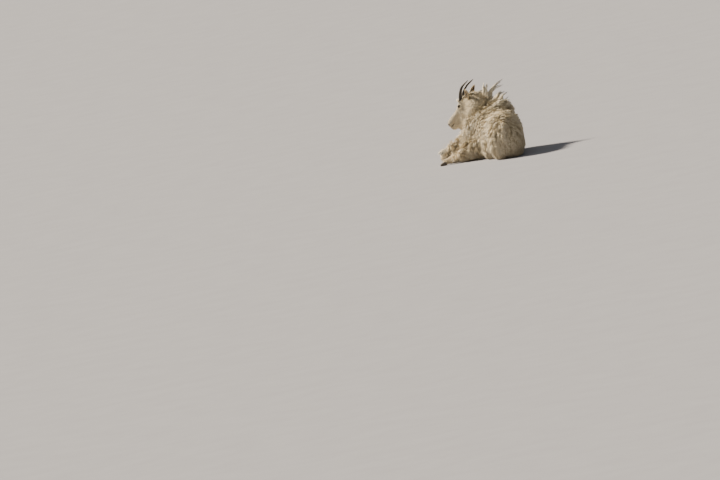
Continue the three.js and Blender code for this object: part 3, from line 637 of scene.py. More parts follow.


def tint_of(points):
    """Cream, yellower low down and soiled in patches, whiter on the face and most of all along its top
    as a painted highlight, grey at the muzzle with painted shade along its sides, dark at nose, lips
    and eyes; paler on the trunk beside the fold as a painted highlight, and darker with painted shade
    in the fold, on the neck beside it and in the hollow behind each ear."""
    colours = bpy.context.scene.goat_colours
    cream, white_and_painted_light, stain, grey, dark = (
        np.array(c[:3]) for c in (colours.cream, colours.white_and_painted_light, colours.stain, colours.grey, colours.dark)
    )
    z = points[:, 2]
    blotch = 0.5 + 0.5 * soft_noise(points, 70.0, 3) + 0.25 * soft_noise(points, 26.0, 4)
    low = np.clip(1 - smoothstep(z, 20, 260) + 0.35 * (blotch - 0.5), 0, 1)[:, None]
    tint = mixed(cream, stain, 0.6 * low)
    tint = tint * (1 + 0.12 * (blotch - 0.5))[:, None]
    soiled = 0.35 * smoothstep(soft_noise(points, 52.0, 6), 0.2, 0.7)[:, None]
    tint = mixed(tint, stain, soiled)
    beside, neck = fold_field(points), above_fold(points)
    # painted highlight: the trunk beside the fold is made paler, where light falls on its ridge
    lit = (1 - neck) * (1 - smoothstep(beside, 20, 130))
    tint = mixed(tint, white_and_painted_light, 0.85 * lit[:, None])
    # painted shade in the fold and on the neck side beside it
    fold = np.maximum(1 - smoothstep(beside, -16, 4), 0.62 * neck * (1 - smoothstep(beside, -6, 100)))
    # painted shade in the hollow behind each ear
    for _, side in SIDES:
        hollow = distance_to(points, HEAD.at(-26, side * 62, -8))
        fold = np.maximum(fold, 0.8 * (1 - smoothstep(hollow, 12, 34)))
    tint = tint * (1 - fold[:, None] * (1 - PAINTED_FOLD_SHADE))
    f, l, u = HEAD.inside(points).T
    near_head = (np.abs(l) < 95) & (np.abs(u) < 110) & (f > -60)
    # painted highlight: the face is made whiter along its top than on its sides
    ridge = smoothstep(u - 0.3 * np.abs(l), -30, 22)
    face = np.where(near_head, smoothstep(f, 10, 130) * (0.45 + 0.55 * ridge), 0)
    face = (face * (1 - smoothstep(-u, 60, 100)))[:, None]
    tint = mixed(tint, white_and_painted_light, 0.75 * face)
    muzzle = np.where(near_head, smoothstep(f, 240, 300), 0)
    # painted shade along the sides of the muzzle, in the muzzle grey
    muzzle_side_shade = np.where(near_head, smoothstep(f, 100, 230) * (1 - smoothstep(np.abs(u - 4), 0, 34)), 0)
    muzzle = np.maximum(0.4 * muzzle, 0.3 * muzzle_side_shade * smoothstep(np.abs(l), 10, 30))[:, None]
    tint = mixed(tint, grey, muzzle)
    nose = smoothstep(f, 303, 314) * smoothstep(u, -8, 2) * smoothstep(-u, -22, -12)
    dark_parts = [np.where(near_head, nose, 0)]
    for name, side in SIDES:
        dark_parts.append(1 - smoothstep(chain(points, *nostril(side)), 0, 6))
        eye = distance_to(points, EYE_PLACES[name])
        dark_parts.append(0.85 * (1 - smoothstep(eye, EYE["radius"] + 1, EYE["radius"] + 7)))
    dark_parts.append(1 - smoothstep(mouth_field(points, 1.0), 1, 8))
    shade = np.clip(np.max(dark_parts, axis=0), 0, 1)[:, None]
    return mixed(tint, dark, shade)


def coat_material():
    """Cream hair: darker and yellower at its root as painted shade, lighter at the tip, with soft sheen."""
    s = Shading("cream_coat")
    tint = s.attribute("Tint").outputs["Color"]
    along = s.attribute("Along").outputs["Fac"]
    # painted shade: the hair is darker towards its root
    shade = s.ramp(along, [(0.0, (0.60, 0.53, 0.42)), (0.5, (0.93, 0.90, 0.84)), (1.0, (1.0, 1.0, 1.0))])
    patchy = s.mottle((0.86, 0.83, 0.77), (1.0, 1.0, 1.0), 26.0, 4.0)
    colour = s.mix("MULTIPLY", 1.0, tint, shade)
    colour = s.mix("MULTIPLY", 0.8, colour, patchy)
    s.link(colour, s.shader.inputs["Base Color"])
    s.bump(s.noise(900.0, 2.0), 0.15, 0.001)
    s.plain(Roughness=0.78, Sheen_Weight=0.25, Sheen_Roughness=0.5, Specular_IOR_Level=0.25,
        Subsurface_Weight=0.2, Subsurface_Scale=0.01, Subsurface_Radius=(1.0, 0.85, 0.65))
    return s.material


def skin_material():
    """Skin under the coat, with the same markings and a fine nap."""
    s = Shading("short_haired_skin")
    tint = s.attribute("Tint").outputs["Color"]
    patchy = s.mottle((0.62, 0.58, 0.52), (0.86, 0.84, 0.80), 60.0, 4.0)
    s.link(s.mix("MULTIPLY", 1.0, tint, patchy), s.shader.inputs["Base Color"])
    s.bump(s.noise(420.0, 4.0), 0.4, 0.002)
    s.plain(Roughness=0.72, Specular_IOR_Level=0.3)
    return s.material


# The lie of the coat


def coat_normal(points):
    """Outward direction of the bare form."""
    h = 2.5
    corners = np.array([(1, -1, -1), (-1, -1, 1), (-1, 1, -1), (1, 1, 1)], float)
    return unit(sum(corner * coat_field(points + corner * h)[:, None] for corner in corners))


def lie_at(points, normal):
    """The way the coat lies: back along the body and face, down its own weight, along the legs."""
    turn = smoothstep(points[:, 1], HIP["y"] + 150, WITHERS["y"])
    heading = np.radians(HIP["heading"] + turn * (WITHERS["heading"] - HIP["heading"]))
    lie = np.stack([0.62 * np.sin(heading), -0.62 * np.cos(heading), np.full(len(points), -0.9)], 1)
    near = 1 - smoothstep(distance_to(points, HEAD.at(130, 0, -40)), 110, 210)
    lie = lie - (2.2 * near)[:, None] * HEAD.forward
    for joints in JOINTS.values():
        for a, b in zip(joints[:-1], joints[1:]):
            a, b = np.array(a, float), np.array(b, float)
            d = round_cone(points, a, b, 30.0, 24.0)
            w = 1 - smoothstep(d, 4, 26)
            lie = lie * (1 - w)[:, None] + (1.1 * w)[:, None] * unit(b - a)
    lie = lie - np.sum(lie * normal, 1)[:, None] * normal
    return unit(lie)


def above_fold(points):
    """1 on the neck side of the fold, 0 on the trunk side."""
    x, _, z = points.T
    return smoothstep(z - 0.53 * x, 358, 374) * (1 - smoothstep(x, 250, 320))


def on_neck(points):
    """1 on the neck, 0 on the trunk."""
    trunk, neck = trunk_and_neck(points)
    near = 1 - smoothstep(points[:, 1], 250, 330)
    return mixed(smoothstep(trunk - neck, -12, 12), above_fold(points), near)


def on_face(points):
    """1 on the face, 0 behind the jaw, where the ruff begins."""
    f, l, u = HEAD.inside(points).T
    near = (np.abs(l) < 92) & (u < 92) & (f > -45)
    return np.where(near, smoothstep(f - 0.35 * u, -40, 170) * smoothstep(u, -92, -58), 0)


def near_hooves(points):
    """1 round each foot, 0 away from it."""
    feet = [distance_to(points, joints[-1]) for joints in JOINTS.values()]
    return 1 - smoothstep(np.min(feet, axis=0), 40, 150)


def on_leg(points):
    """1 on the lower legs, 0 on the body."""
    return smoothstep(body_field(points) - leg_field(points), 0, 30)


def coat_length(points):
    """Length of the hair: shortest on muzzle and round the ears, longest low on the trunk."""
    longest = bpy.context.scene.goat_sizes.coat_length * 1000
    low = 1 - smoothstep(points[:, 2], 120, 330)
    length = longest * (0.72 + 0.28 * low)
    beside = 1 - smoothstep(fold_field(points), 0, 110)
    length = length * (1 - on_neck(points) * (0.34 + 0.3 * beside))
    length = length * (1 - 0.42 * on_leg(points))
    f, _, _ = HEAD.inside(points).T
    face = on_face(points)
    length = mixed(length, 20 - 11 * smoothstep(f, 60, 250), face)
    ear = np.min([distance_to(points, p) for p in EAR_PLACES.values()], axis=0)
    bald = 1 - smoothstep(ear, 38, 92)
    length = mixed(length, 9, bald)
    foot = near_hooves(points)
    return mixed(length, 20, foot)


def strands(roots, length, spread, lift):
    """Four places along each tuft, from its root in the skin to its tip, and outward directions.

    A tuft follows the form at rising height, hangs clear where the form turns under, and bends
    along the floor where it would pass it."""
    rise = [0.0, 0.24, 0.44, 0.58]
    p = roots.copy()
    places, outward, last = [], [], None
    for i in range(4):
        normal = coat_normal(p)
        lie = lie_at(p, normal)
        lie = unit(lie + np.cross(normal, lie) * spread[:, None])
        height = SKIN_DEPTH - 1.4 + rise[i] * np.maximum(length * lift, 5.5)
        q = p + normal * (height - coat_field(p))[:, None]
        if last is not None:
            hangs = (normal[:, 2] < -0.25)[:, None]
            q = np.where(hangs, 0.5 * (p + q), q)
            lie = np.where(hangs, last, lie)
            normal = np.where(hangs, outward[-1], normal)
        q[:, 2] = np.maximum(q[:, 2], FLOOR_GAP * (1 + i))
        places.append(q)
        outward.append(normal)
        last = lie
        p = q + lie * (length / 3)[:, None]
    return np.stack(places, 1), np.stack(outward, 1)


class Pelt:
    """A mesh of quads with an unwrap of its own shape, on which tufts are rooted."""

    def __init__(self, name, vertices, quads):
        self.vertices, self.quads = vertices, quads
        self.mesh = mesh_of(name, vertices, quads)
        self.piece = bpy.data.objects.new(name, self.mesh)
        bpy.context.scene.collection.objects.link(self.piece)
        bpy.ops.object.select_all(action="DESELECT")
        bpy.context.view_layer.objects.active = self.piece
        self.piece.select_set(True)
        bpy.ops.object.mode_set(mode="EDIT")
        bpy.ops.mesh.select_all(action="SELECT")
        bpy.ops.uv.smart_project(angle_limit=math.radians(66), island_margin=0.001)
        bpy.ops.object.mode_set(mode="OBJECT")
        uv = np.empty(len(self.mesh.loops) * 2, np.float32)
        self.mesh.uv_layers.active.data.foreach_get("uv", uv)
        self.uv = uv.reshape(-1, 4, 2)

    def areas(self):
        """Area of each face."""
        a, b, c, d = (self.vertices[self.quads[:, i]] for i in range(4))
        return 0.5 * np.linalg.norm(np.cross(c - a, d - b), axis=1)

    def roots(self, count, weight, seed):
        """Random places on the mesh, denser where weight is larger, and their unwrapped places."""
        rng = np.random.default_rng(seed)
        corners = self.vertices[self.quads]
        share = np.cumsum(self.areas() * weight)
        face = np.searchsorted(share, rng.uniform(0, share[-1], count))
        s, t = rng.uniform(0, 1, (2, count, 1))
        parts = [(1 - s) * (1 - t), s * (1 - t), s * t, (1 - s) * t]
        place = sum(b * corners[face, k] for k, b in enumerate(parts))
        return place, sum(b * self.uv[face, k] for k, b in enumerate(parts))

    def unwrapped(self, places):
        """Unwrapped places of the parts of the mesh nearest to places."""
        centres = self.vertices[self.quads].mean(1)
        return self.uv.mean(1)[nearest(centres, places)]


def nearest(targets, places):
    """Index of the target nearest to each place."""
    tree = kdtree.KDTree(len(targets))
    for i, p in enumerate(targets):
        tree.insert(Vector(p), i)
    tree.balance()
    return np.array([tree.find(Vector(p))[1] for p in places])


TUFT_RINGS = 3
TUFT_SIDES = 3
TUFT_POINTS = TUFT_RINGS * TUFT_SIDES + 1
TUFT_TRIANGLES = 1 + (2 * TUFT_RINGS - 1) * TUFT_SIDES
PIECE_TRIANGLES = 190000  # the coat is split into pieces below this
STRAYS = 0.07  # share of tufts that lie loose, longer and thinner
LOCK_WIDTHS = (2.4, 4.2)  # narrowest and widest tuft of crest and fringes
EAR_HAIR_WIDTH = 1.9
EAR_HAIR = ((True, 2200, 13.0), (False, 260, 17.0))  # whether on the back, tufts, their length
CLUMPS_PER_CELL = 1.25  # locks for each square of the distance between locks
BAKE_PATCH = 0.003  # width of a tuft's patch on the unwrap of the skin
TUFT_STEPS = np.array([0.0, 0.36, 0.7, 1.0])[None, :, None]


def tuft_mesh(name, places, outward, widths, flat_places, tint):
    """Joined closed tufts: flat tapered blades through four places each, with their bake patches."""
    count = len(places)
    along = unit(np.gradient(places, axis=1))
    side = unit(np.cross(outward, along))
    over = np.cross(along, side)
    profile = np.array([0.75, 1.0, 0.72])
    turn = np.radians([210.0, 330.0, 90.0])
    ring = places[:, :3, None] + widths[:, None, None, None] / 2 * profile[None, :, None, None] * (
        side[:, :3, None] * np.cos(turn)[:, None] + 0.5 * over[:, :3, None] * np.sin(turn)[:, None]
    )
    vertices = np.concatenate([ring.reshape(count, -1, 3), places[:, 3:]], 1)
    faces = [(0, 1, 2)]
    for i in range(TUFT_RINGS - 1):
        for k in range(TUFT_SIDES):
            a, b = i * TUFT_SIDES + k, i * TUFT_SIDES + (k + 1) % TUFT_SIDES
            faces += [(a, a + TUFT_SIDES, b + TUFT_SIDES), (a, b + TUFT_SIDES, b)]
    tip, last = TUFT_POINTS - 1, TUFT_POINTS - 1 - TUFT_SIDES
    faces += [(last + k, tip, last + (k + 1) % TUFT_SIDES) for k in range(TUFT_SIDES)]
    faces = np.array(faces)
    every = (faces[None] + np.arange(count)[:, None, None] * TUFT_POINTS).reshape(-1, 3)
    mesh = mesh_of(name, vertices.reshape(-1, 3), every)
    step = np.concatenate([np.repeat(np.arange(3) / 3, 3), [1.0]])
    place_across = np.concatenate([np.tile([-0.5, 0.5, 0.0], 3), [0.0]])
    patch_uv = np.stack([place_across, step - 0.5], 1) * BAKE_PATCH
    uv = flat_places[:, None, None] + patch_uv[faces][None]
    layer = mesh.uv_layers.new(name="OFBake")
    layer.data.foreach_set("uv", uv.astype(np.float32).ravel())
    set_colour(mesh, "Tint", np.repeat(tint, TUFT_POINTS, axis=0))
    set_value(mesh, "Along", np.tile(step, count))
    return mesh


def gathered(places, roots, clump_places, clump_roots, pull):
    """Draws tufts together towards the tip of the nearest clump."""
    index = nearest(clump_roots, roots)
    aim = clump_places[index] + 0.2 * (roots - clump_roots[index])[:, None]
    share = np.array([0.0, 0.28, 0.6, 0.86])[None, :, None] * pull[:, None, None]
    return mixed(places, aim, share)


# Pieces


class GoatSizes(bpy.types.PropertyGroup):
    """Sizes of the coat and horns."""

    coat_length: bpy.props.FloatProperty(
        name="Coat length", description="Length of the hair on the lower trunk", default=0.084,
        unit="LENGTH")
    tuft_width: bpy.props.FloatProperty(
        name="Tuft width", description="Width of a tuft on the trunk", default=0.0042, unit="LENGTH")
    clump_spacing: bpy.props.FloatProperty(
        name="Clump spacing", description="Distance between locks that tufts gather into",
        default=0.040, unit="LENGTH")
    tufts: bpy.props.IntProperty(
        name="Tufts", description="Number of tufts on the skin", default=76000)
    horn_radius: bpy.props.FloatProperty(
        name="Horn radius", description="Radius of a horn at its base", default=0.0142, unit="LENGTH")


class GoatColours(bpy.types.PropertyGroup):
    """Colours of the coat and the bare parts."""

    cream: bpy.props.FloatVectorProperty(
        name="Cream", description="Main colour of the coat", subtype="COLOR", size=4,
        default=(0.92, 0.84, 0.65, 1.0))
    # also painted light: the highlight beside the fold, along the top of the face and in the glow of crest
    # and fringes
    white_and_painted_light: bpy.props.FloatVectorProperty(
        name="White", description="Face, crest, fringes and hair beside the fold", subtype="COLOR", size=4,
        default=(0.95, 0.91, 0.79, 1.0))
    stain: bpy.props.FloatVectorProperty(
        name="Stain", description="Yellowed hair low on the body", subtype="COLOR", size=4,
        default=(0.74, 0.62, 0.41, 1.0))
    # also painted as shade along the sides of the muzzle
    grey: bpy.props.FloatVectorProperty(
        name="Muzzle grey", description="Short hair round the muzzle", subtype="COLOR", size=4,
        default=(0.42, 0.37, 0.31, 1.0))
    dark: bpy.props.FloatVectorProperty(
        name="Dark skin", description="Nose, lips and rims of the eyes", subtype="COLOR", size=4,
        default=(0.035, 0.028, 0.024, 1.0))
    horn: bpy.props.FloatVectorProperty(
        name="Horn", description="Black of the horns", subtype="COLOR", size=4,
        default=(0.022, 0.019, 0.017, 1.0))
    hoof: bpy.props.FloatVectorProperty(
        name="Hoof", description="Dark grey of the hooves", subtype="COLOR", size=4,
        default=(0.045, 0.038, 0.032, 1.0))


class GoatOperator(bpy.types.Operator):
    """Shared settings of the goat's operators."""

    bl_options = {"REGISTER", "UNDO"}

    @property
    def sizes(self):
        return bpy.context.scene.goat_sizes

    @property
    def colours(self):
        return bpy.context.scene.goat_colours


def rim_parts():
    """Dark rims along the edges of the lids."""
    parts = []
    for name, side in SIDES:
        along, across, out = eye_axes(side)
        for edge in (1, -1):
            w = np.linspace(-LIDS["length"], LIDS["length"], 25)
            h = edge * LIDS["height"] * (1 - (w / LIDS["length"]) ** 2)
            reach = EYE["radius"] + LIDS["thick"] * 0.55
            o = np.sqrt(np.maximum(reach**2 - w**2 - h**2, 0))
            places = EYE_PLACES[name] + np.outer(w, along) + np.outer(h, across) + np.outer(o, out)
            radii = 1.0 + 1.1 * np.cos(w / LIDS["length"] * math.pi / 2)
            parts.append(tube(places, radii, 8, out))
    return parts


@functools.lru_cache(maxsize=1)
def skin_pelt():
    """The skin, unwrapped."""
    return Pelt("skin", *skin_surface())


class GOAT_OT_skin(GoatOperator):
    """One skin in place of every node of flesh, with lids over the eyes and their dark rims"""

    bl_idname = "goat.skin"
    bl_label = "Skin"

    def execute(self, context):
        pelt = skin_pelt()
        holder = pelt.piece
        set_colour(pelt.mesh, "Tint", tint_of(pelt.vertices))
        pelt.mesh.materials.append(skin_material())
        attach(holder, BODY)
        lower = [
            f"{end}_{piece}_{side}"
            for end, upper in (("front", "forearm"), ("hind", "shank"))
            for piece in (upper, "cannon", "pastern")
            for side, _ in SIDES
        ]
        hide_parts(*FLESH, *lower)
        vertices, faces = joined(rim_parts())
        lids = mesh_of("eye_rims", vertices, faces)
        set_colour(lids, "Tint", np.tile(np.array(self.colours.dark[:3]), (len(vertices), 1)))
        lids.materials.append(holder.data.materials[0])
        new_object("eye_rims", lids)
        return {"FINISHED"}


class GOAT_OT_coat(GoatOperator):
    """The coat: thin tufts in overlapping locks over the whole skin"""

    bl_idname = "goat.coat"
    bl_label = "Coat"

    def execute(self, context):
        rng = np.random.default_rng(SEED)
        pelt = skin_pelt()
        centres = pelt.vertices[pelt.quads].mean(1)
        length = coat_length(centres)
        weight = 1 / (length + 12) / (0.5 + 0.5 * smoothstep(length, 10, 80))
        eye = np.min([distance_to(centres, p) for p in EYE_PLACES.values()], axis=0)
        f, _, u = HEAD.inside(centres).T
        bare = (eye < EYE["radius"] + 4) | ((f > 307) & (np.abs(u - 6) < 14) & (centres[:, 2] > 250))
        bare |= (centres[:, 2] < 12) & (coat_normal(centres)[:, 2] < -0.6)
        bare |= mouth_field(centres, 1.0) < 6
        weight = np.where(bare, 0, weight)
        count = self.sizes.tufts
        roots, flat = pelt.roots(count, weight, SEED)
        stray = rng.uniform(0, 1, count) < STRAYS
        length = coat_length(roots) * rng.uniform(0.7, 1.2, count) * np.where(stray, 1.3, 1.0)
        lift = lift_at(roots)
        places, outward = strands(
            roots, length, rng.normal(0, 0.3, count), lift * rng.uniform(0.6, 1.2, count)
        )
        spacing = self.sizes.clump_spacing * 1000
        cells = np.where(bare, 0, 1 / length_cell(centres, spacing) ** 2)
        clump_count = int(np.sum(pelt.areas() * cells) * CLUMPS_PER_CELL)
        clump_roots, _ = pelt.roots(clump_count, cells, SEED + 1)
        clump_places, _ = strands(
            clump_roots, coat_length(clump_roots) * rng.uniform(0.8, 1.2, clump_count),
            rng.normal(0, 0.5, clump_count), lift_at(clump_roots) * rng.uniform(0.7, 1.5, clump_count),
        )
        woolly = smoothstep(coat_normal(roots)[:, 2], -0.1, 0.55) * (1 - 0.75 * on_neck(roots))
        pull = np.where(stray, 0.12, rng.uniform(0.2, 0.62, count) + 0.38 * woolly)
        places = gathered(places, roots, clump_places, clump_roots, pull)
        places[:, :, 1] = np.minimum(places[:, :, 1], FAR_SIDE)
        wide = self.sizes.tuft_width * 1000
        widths = wide * (0.42 + 0.58 * smoothstep(length, 8, 70)) * rng.uniform(0.75, 1.25, count)
        widths = np.where(stray, 0.6 * widths, widths)
        tint = tint_of(roots) * rng.uniform(0.9, 1.06, (count, 1))
        order = np.argsort(roots[:, 1])
        material = coat_material()
        pieces = math.ceil(count * TUFT_TRIANGLES / PIECE_TRIANGLES)
        for i, chosen in enumerate(np.array_split(order, pieces)):
            mesh = tuft_mesh(
                f"coat_{i + 1}", places[chosen], outward[chosen], widths[chosen], flat[chosen], tint[chosen]
            )
            mesh.materials.append(material)
            new_object(f"coat_{i + 1}", mesh)
        return {"FINISHED"}


def lift_at(points):
    """How far the hair stands off: most on the top of the trunk, least on face, neck and feet."""
    normal = coat_normal(points)
    top = smoothstep(normal[:, 2], 0.1, 0.7)
    lift = 0.62 + 0.5 * top
    lift = lift * (1 - 0.35 * on_neck(points))
    lift = lift * (1 - 0.35 * near_hooves(points))
    return lift * (1 - 0.55 * on_face(points))


def length_cell(points, spacing):
    """Distance between locks: close on the face, wide on the trunk."""
    return spacing * (0.25 + 0.75 * smoothstep(coat_length(points), 10, 90))


# Root, reach across and up of each lock along the crest, blown to the viewer's right, and its width
CREST = [
    (84, 356, 64, -36, 46), (124, 340, 66, -30, 46), (166, 318, 2, 94, 50), (178, 308, 40, 84, 40),
    (192, 296, 152, 127, 56), (186, 302, 141, 74, 50), (258, 250, 84, 36, 60), (292, 226, 84, 20, 62),
]


CREST_START = 720.0  # a height above all roots of the crest
CREST_COVER = 20.0  # how far from the bare form the way down to it ends
FULL_LOCK = 56  # width of a lock that gets the full count of tufts
WISPS = 5  # wisps in a lock
LOCKS_BETWEEN = 16  # short locks between those of the crest


def crest_top(x, y):
    """Height at which the way straight down to a place on the floor comes near the coat."""
    z = CREST_START
    for _ in range(200):
        d = coat_field(np.array([[x, y, z]]))[0] - CREST_COVER
        if d < 0.5:
            break
        z -= max(d * 0.8, 0.4)
    return z


class GOAT_OT_mane(GoatOperator):
    """The crest of neck and withers: loose locks of long hair blown to one side"""

    bl_idname = "goat.mane"
    bl_label = "Mane"

    def execute(self, context):
        rng = np.random.default_rng(SEED + 2)
        count = 640
        line = np.array(CREST, float)
        between = []
        for _ in range(LOCKS_BETWEEN):
            x, y = line[rng.integers(2, len(CREST)), :2] + rng.normal(0, (20, 12))
            between.append((x, y, rng.uniform(10, 60), rng.uniform(-26, 4), rng.uniform(20, 30)))
        places, roots = [], []
        for x, y, across, rise, width in (*CREST, *between):
            n = int(count * (width / FULL_LOCK) ** 2)
            start = np.array([x - 6.0, y, crest_top(x, y) - 16.0])
            wisp = rng.integers(0, WISPS, n)
            aside = (rng.normal(0, 1, (WISPS, 3)) * (5.0, 10.0, 7.0))[wisp]
            share = np.concatenate([[1.0, 0.95], rng.uniform(0.6, 0.95, WISPS - 2)])[wisp, None]
            root = start + rng.normal(0, 1, (n, 3)) * (0.2 * width, 0.24 * width, 3.0) + 0.6 * aside
            reach = np.array([across + 10.0, -10.0, rise + 44.0])
            tip = start + reach * 1.06 + aside * (1.6, 1.0, 1.6) + rng.normal(0, 2.5, (n, 3))
            bow = start + reach * (0.06, 0.5, 0.8) + 0.3 * (root - start) + 0.8 * aside
            s = TUFT_STEPS * share[:, :, None] * rng.uniform(0.45, 1.0, (n, 1, 1)) ** 0.6
            places.append(bow_curve(root, bow, tip, s))
            roots.append(root)
        add_locks("mane", np.concatenate(places), np.concatenate(roots), (0.0, -1.0, 0.3), rng)
        return {"FINISHED"}


def add_locks(name, places, roots, outward, rng):
    """One piece of loose long hair through given places."""
    count = len(places)
    # painted light: loose locks take the face's paler colour in place of the coat's, for light shining
    # through the hair
    white_and_painted_light = np.array(bpy.context.scene.goat_colours.white_and_painted_light[:3])
    tint = white_and_painted_light * rng.uniform(0.94, 1.03, (count, 1))
    mesh = tuft_mesh(
        name, places, np.tile(outward, (count, 4, 1)), rng.uniform(*LOCK_WIDTHS, count),
        skin_pelt().unwrapped(roots), tint,
    )
    mesh.materials.append(bpy.data.materials["cream_coat"])
    new_object(name, mesh)


class GOAT_OT_fringe(GoatOperator):
    """The fringe along the far foreleg and the tuft before the horns"""

    bl_idname = "goat.fringe"
    bl_label = "Fringes"

    def execute(self, context):
        rng = np.random.default_rng(SEED + 5)
        count = 1500
        row = rng.uniform(-1.8, 1.8, (count, 1))
        none = np.zeros((count, 1))
        along = rng.uniform(0, 0.72, (count, 1))
        start, end = np.array([-196.0, 402.0, 150.0]), np.array([-380.0, 394.0, 104.0])
        root = start + (end - start) * along * 0.8 + np.hstack([none, 22 * row, -12 * row**2])
        aim = end + np.hstack([12 * row**2, 12 * row, -10 * np.abs(row)]) + rng.normal(0, 6, (count, 3))
        tip = root + (aim - root) * rng.uniform(0.5, 1.04, (count, 1))
        bow = (root + tip) / 2 + (0, 0, 30)
        curve = bow_curve(root, bow, tip, TUFT_STEPS)
        add_locks("foreleg_fringe", curve, root, (-0.3, 0.0, 1.0), rng)
        count = count // 4
        across = rng.normal(0, 1, (count, 1))
        ends = [(64, 20, 40), (74, 18, 66), (74, 24, 84), (66, 30, 100)]
        reach = rng.uniform(0.5, 1.05, (count, 1))
        places = []
        for f, l, u in ends:
            side = across * l * 0.9
            high = 40 + (u - 40) * reach
            local = np.hstack([f + rng.normal(0, 3, (count, 1)), side, high])
            places.append(HEAD.origin + local @ HEAD.matrix.T)
        add_locks("forelock", np.stack(places, 1), places[0], tuple(HEAD.forward), rng)
        return {"FINISHED"}


def globe(centre, radius, columns, rows, pole):
    """A closed ball of triangles, given as vertices and faces, with its pole along a direction."""
    pole = unit(np.asarray(pole, float))
    side = unit(np.cross(pole, (0.0, 0.0, 1.0)))
    over = np.cross(pole, side)
    vertices = [centre + pole * radius]
    for i in range(1, rows):
        a = math.pi * i / rows
        for k in range(columns):
            b = 2 * math.pi * k / columns
            vertices.append(centre + radius * (
                pole * math.cos(a) + math.sin(a) * (side * math.cos(b) + over * math.sin(b))))
    vertices.append(centre - pole * radius)
    faces, last = [], len(vertices) - 1
    for k in range(columns):
        j = (k + 1) % columns
        faces.append((0, 1 + k, 1 + j))
        for i in range(rows - 2):
            a = 1 + i * columns
            faces += [(a + k, a + columns + k, a + columns + j), (a + k, a + columns + j, a + j)]
        a = 1 + (rows - 2) * columns
        faces.append((a + k, last, a + j))
    return np.array(vertices), np.array(faces)


class GOAT_OT_eyes(GoatOperator):
    """Glossy dark eyes with a lying pupil"""

    bl_idname = "goat.eyes"
    bl_label = "Eyes"

    def execute(self, context):
        s = Shading("eye_gloss")
        ring = s.attribute("Iris").outputs["Fac"]
        colour = s.ramp(ring, [
            (0.0, (0.004, 0.003, 0.003)), (0.32, (0.004, 0.003, 0.003)), (0.4, (0.10, 0.055, 0.02)),
            (0.75, (0.05, 0.025, 0.01)), (0.86, (0.006, 0.005, 0.005))])
        s.link(colour, s.shader.inputs["Base Color"])
        s.bump(s.noise(700.0, 2.0), 0.03, 0.0003)
        s.plain(Roughness=0.06, Coat_Weight=1.0, Coat_Roughness=0.02)
        for name, side in SIDES:
            aim = HEAD.left * side
            vertices, faces = globe(EYE_PLACES[name], EYE["radius"] - 0.3, 40, 28, aim)
            mesh = mesh_of(f"{name}_eye", vertices, faces)
            q = vertices - EYE_PLACES[name]
            wide, tall, out = q @ HEAD.forward, q @ HEAD.up, q @ aim
            reach = np.hypot(wide * 0.62, tall * 1.5) / 12.0
            iris = np.hypot(wide, tall) / 13.0
            value = np.where(out > 0, np.minimum(np.maximum(reach * 0.8, iris * 0.35), iris), 1.0)
            set_value(mesh, "Iris", np.clip(value, 0, 1))
            mesh.materials.append(s.material)
            eye = new_object(f"{name}_eye", mesh)
            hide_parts(f"eye_{name}")
        return {"FINISHED"}


def through(points, count):
    """Evenly counted places on a smooth curve through points."""
    p = np.array([2 * points[0] - points[1], *points, 2 * points[-1] - points[-2]])
    result = []
    for s in np.linspace(0, len(points) - 1 - 1e-9, count):
        i = int(s)
        t, (a, b, c, d) = s - i, p[i:i + 4]
        result.append(0.5 * (2 * b + (c - a) * t + (2 * a - 5 * b + 4 * c - d) * t * t
                             + (3 * b - a - 3 * c + d) * t**3))
    return np.array(result)


TWO_TURNS = 12.566  # in radians, for each of the horn's rings


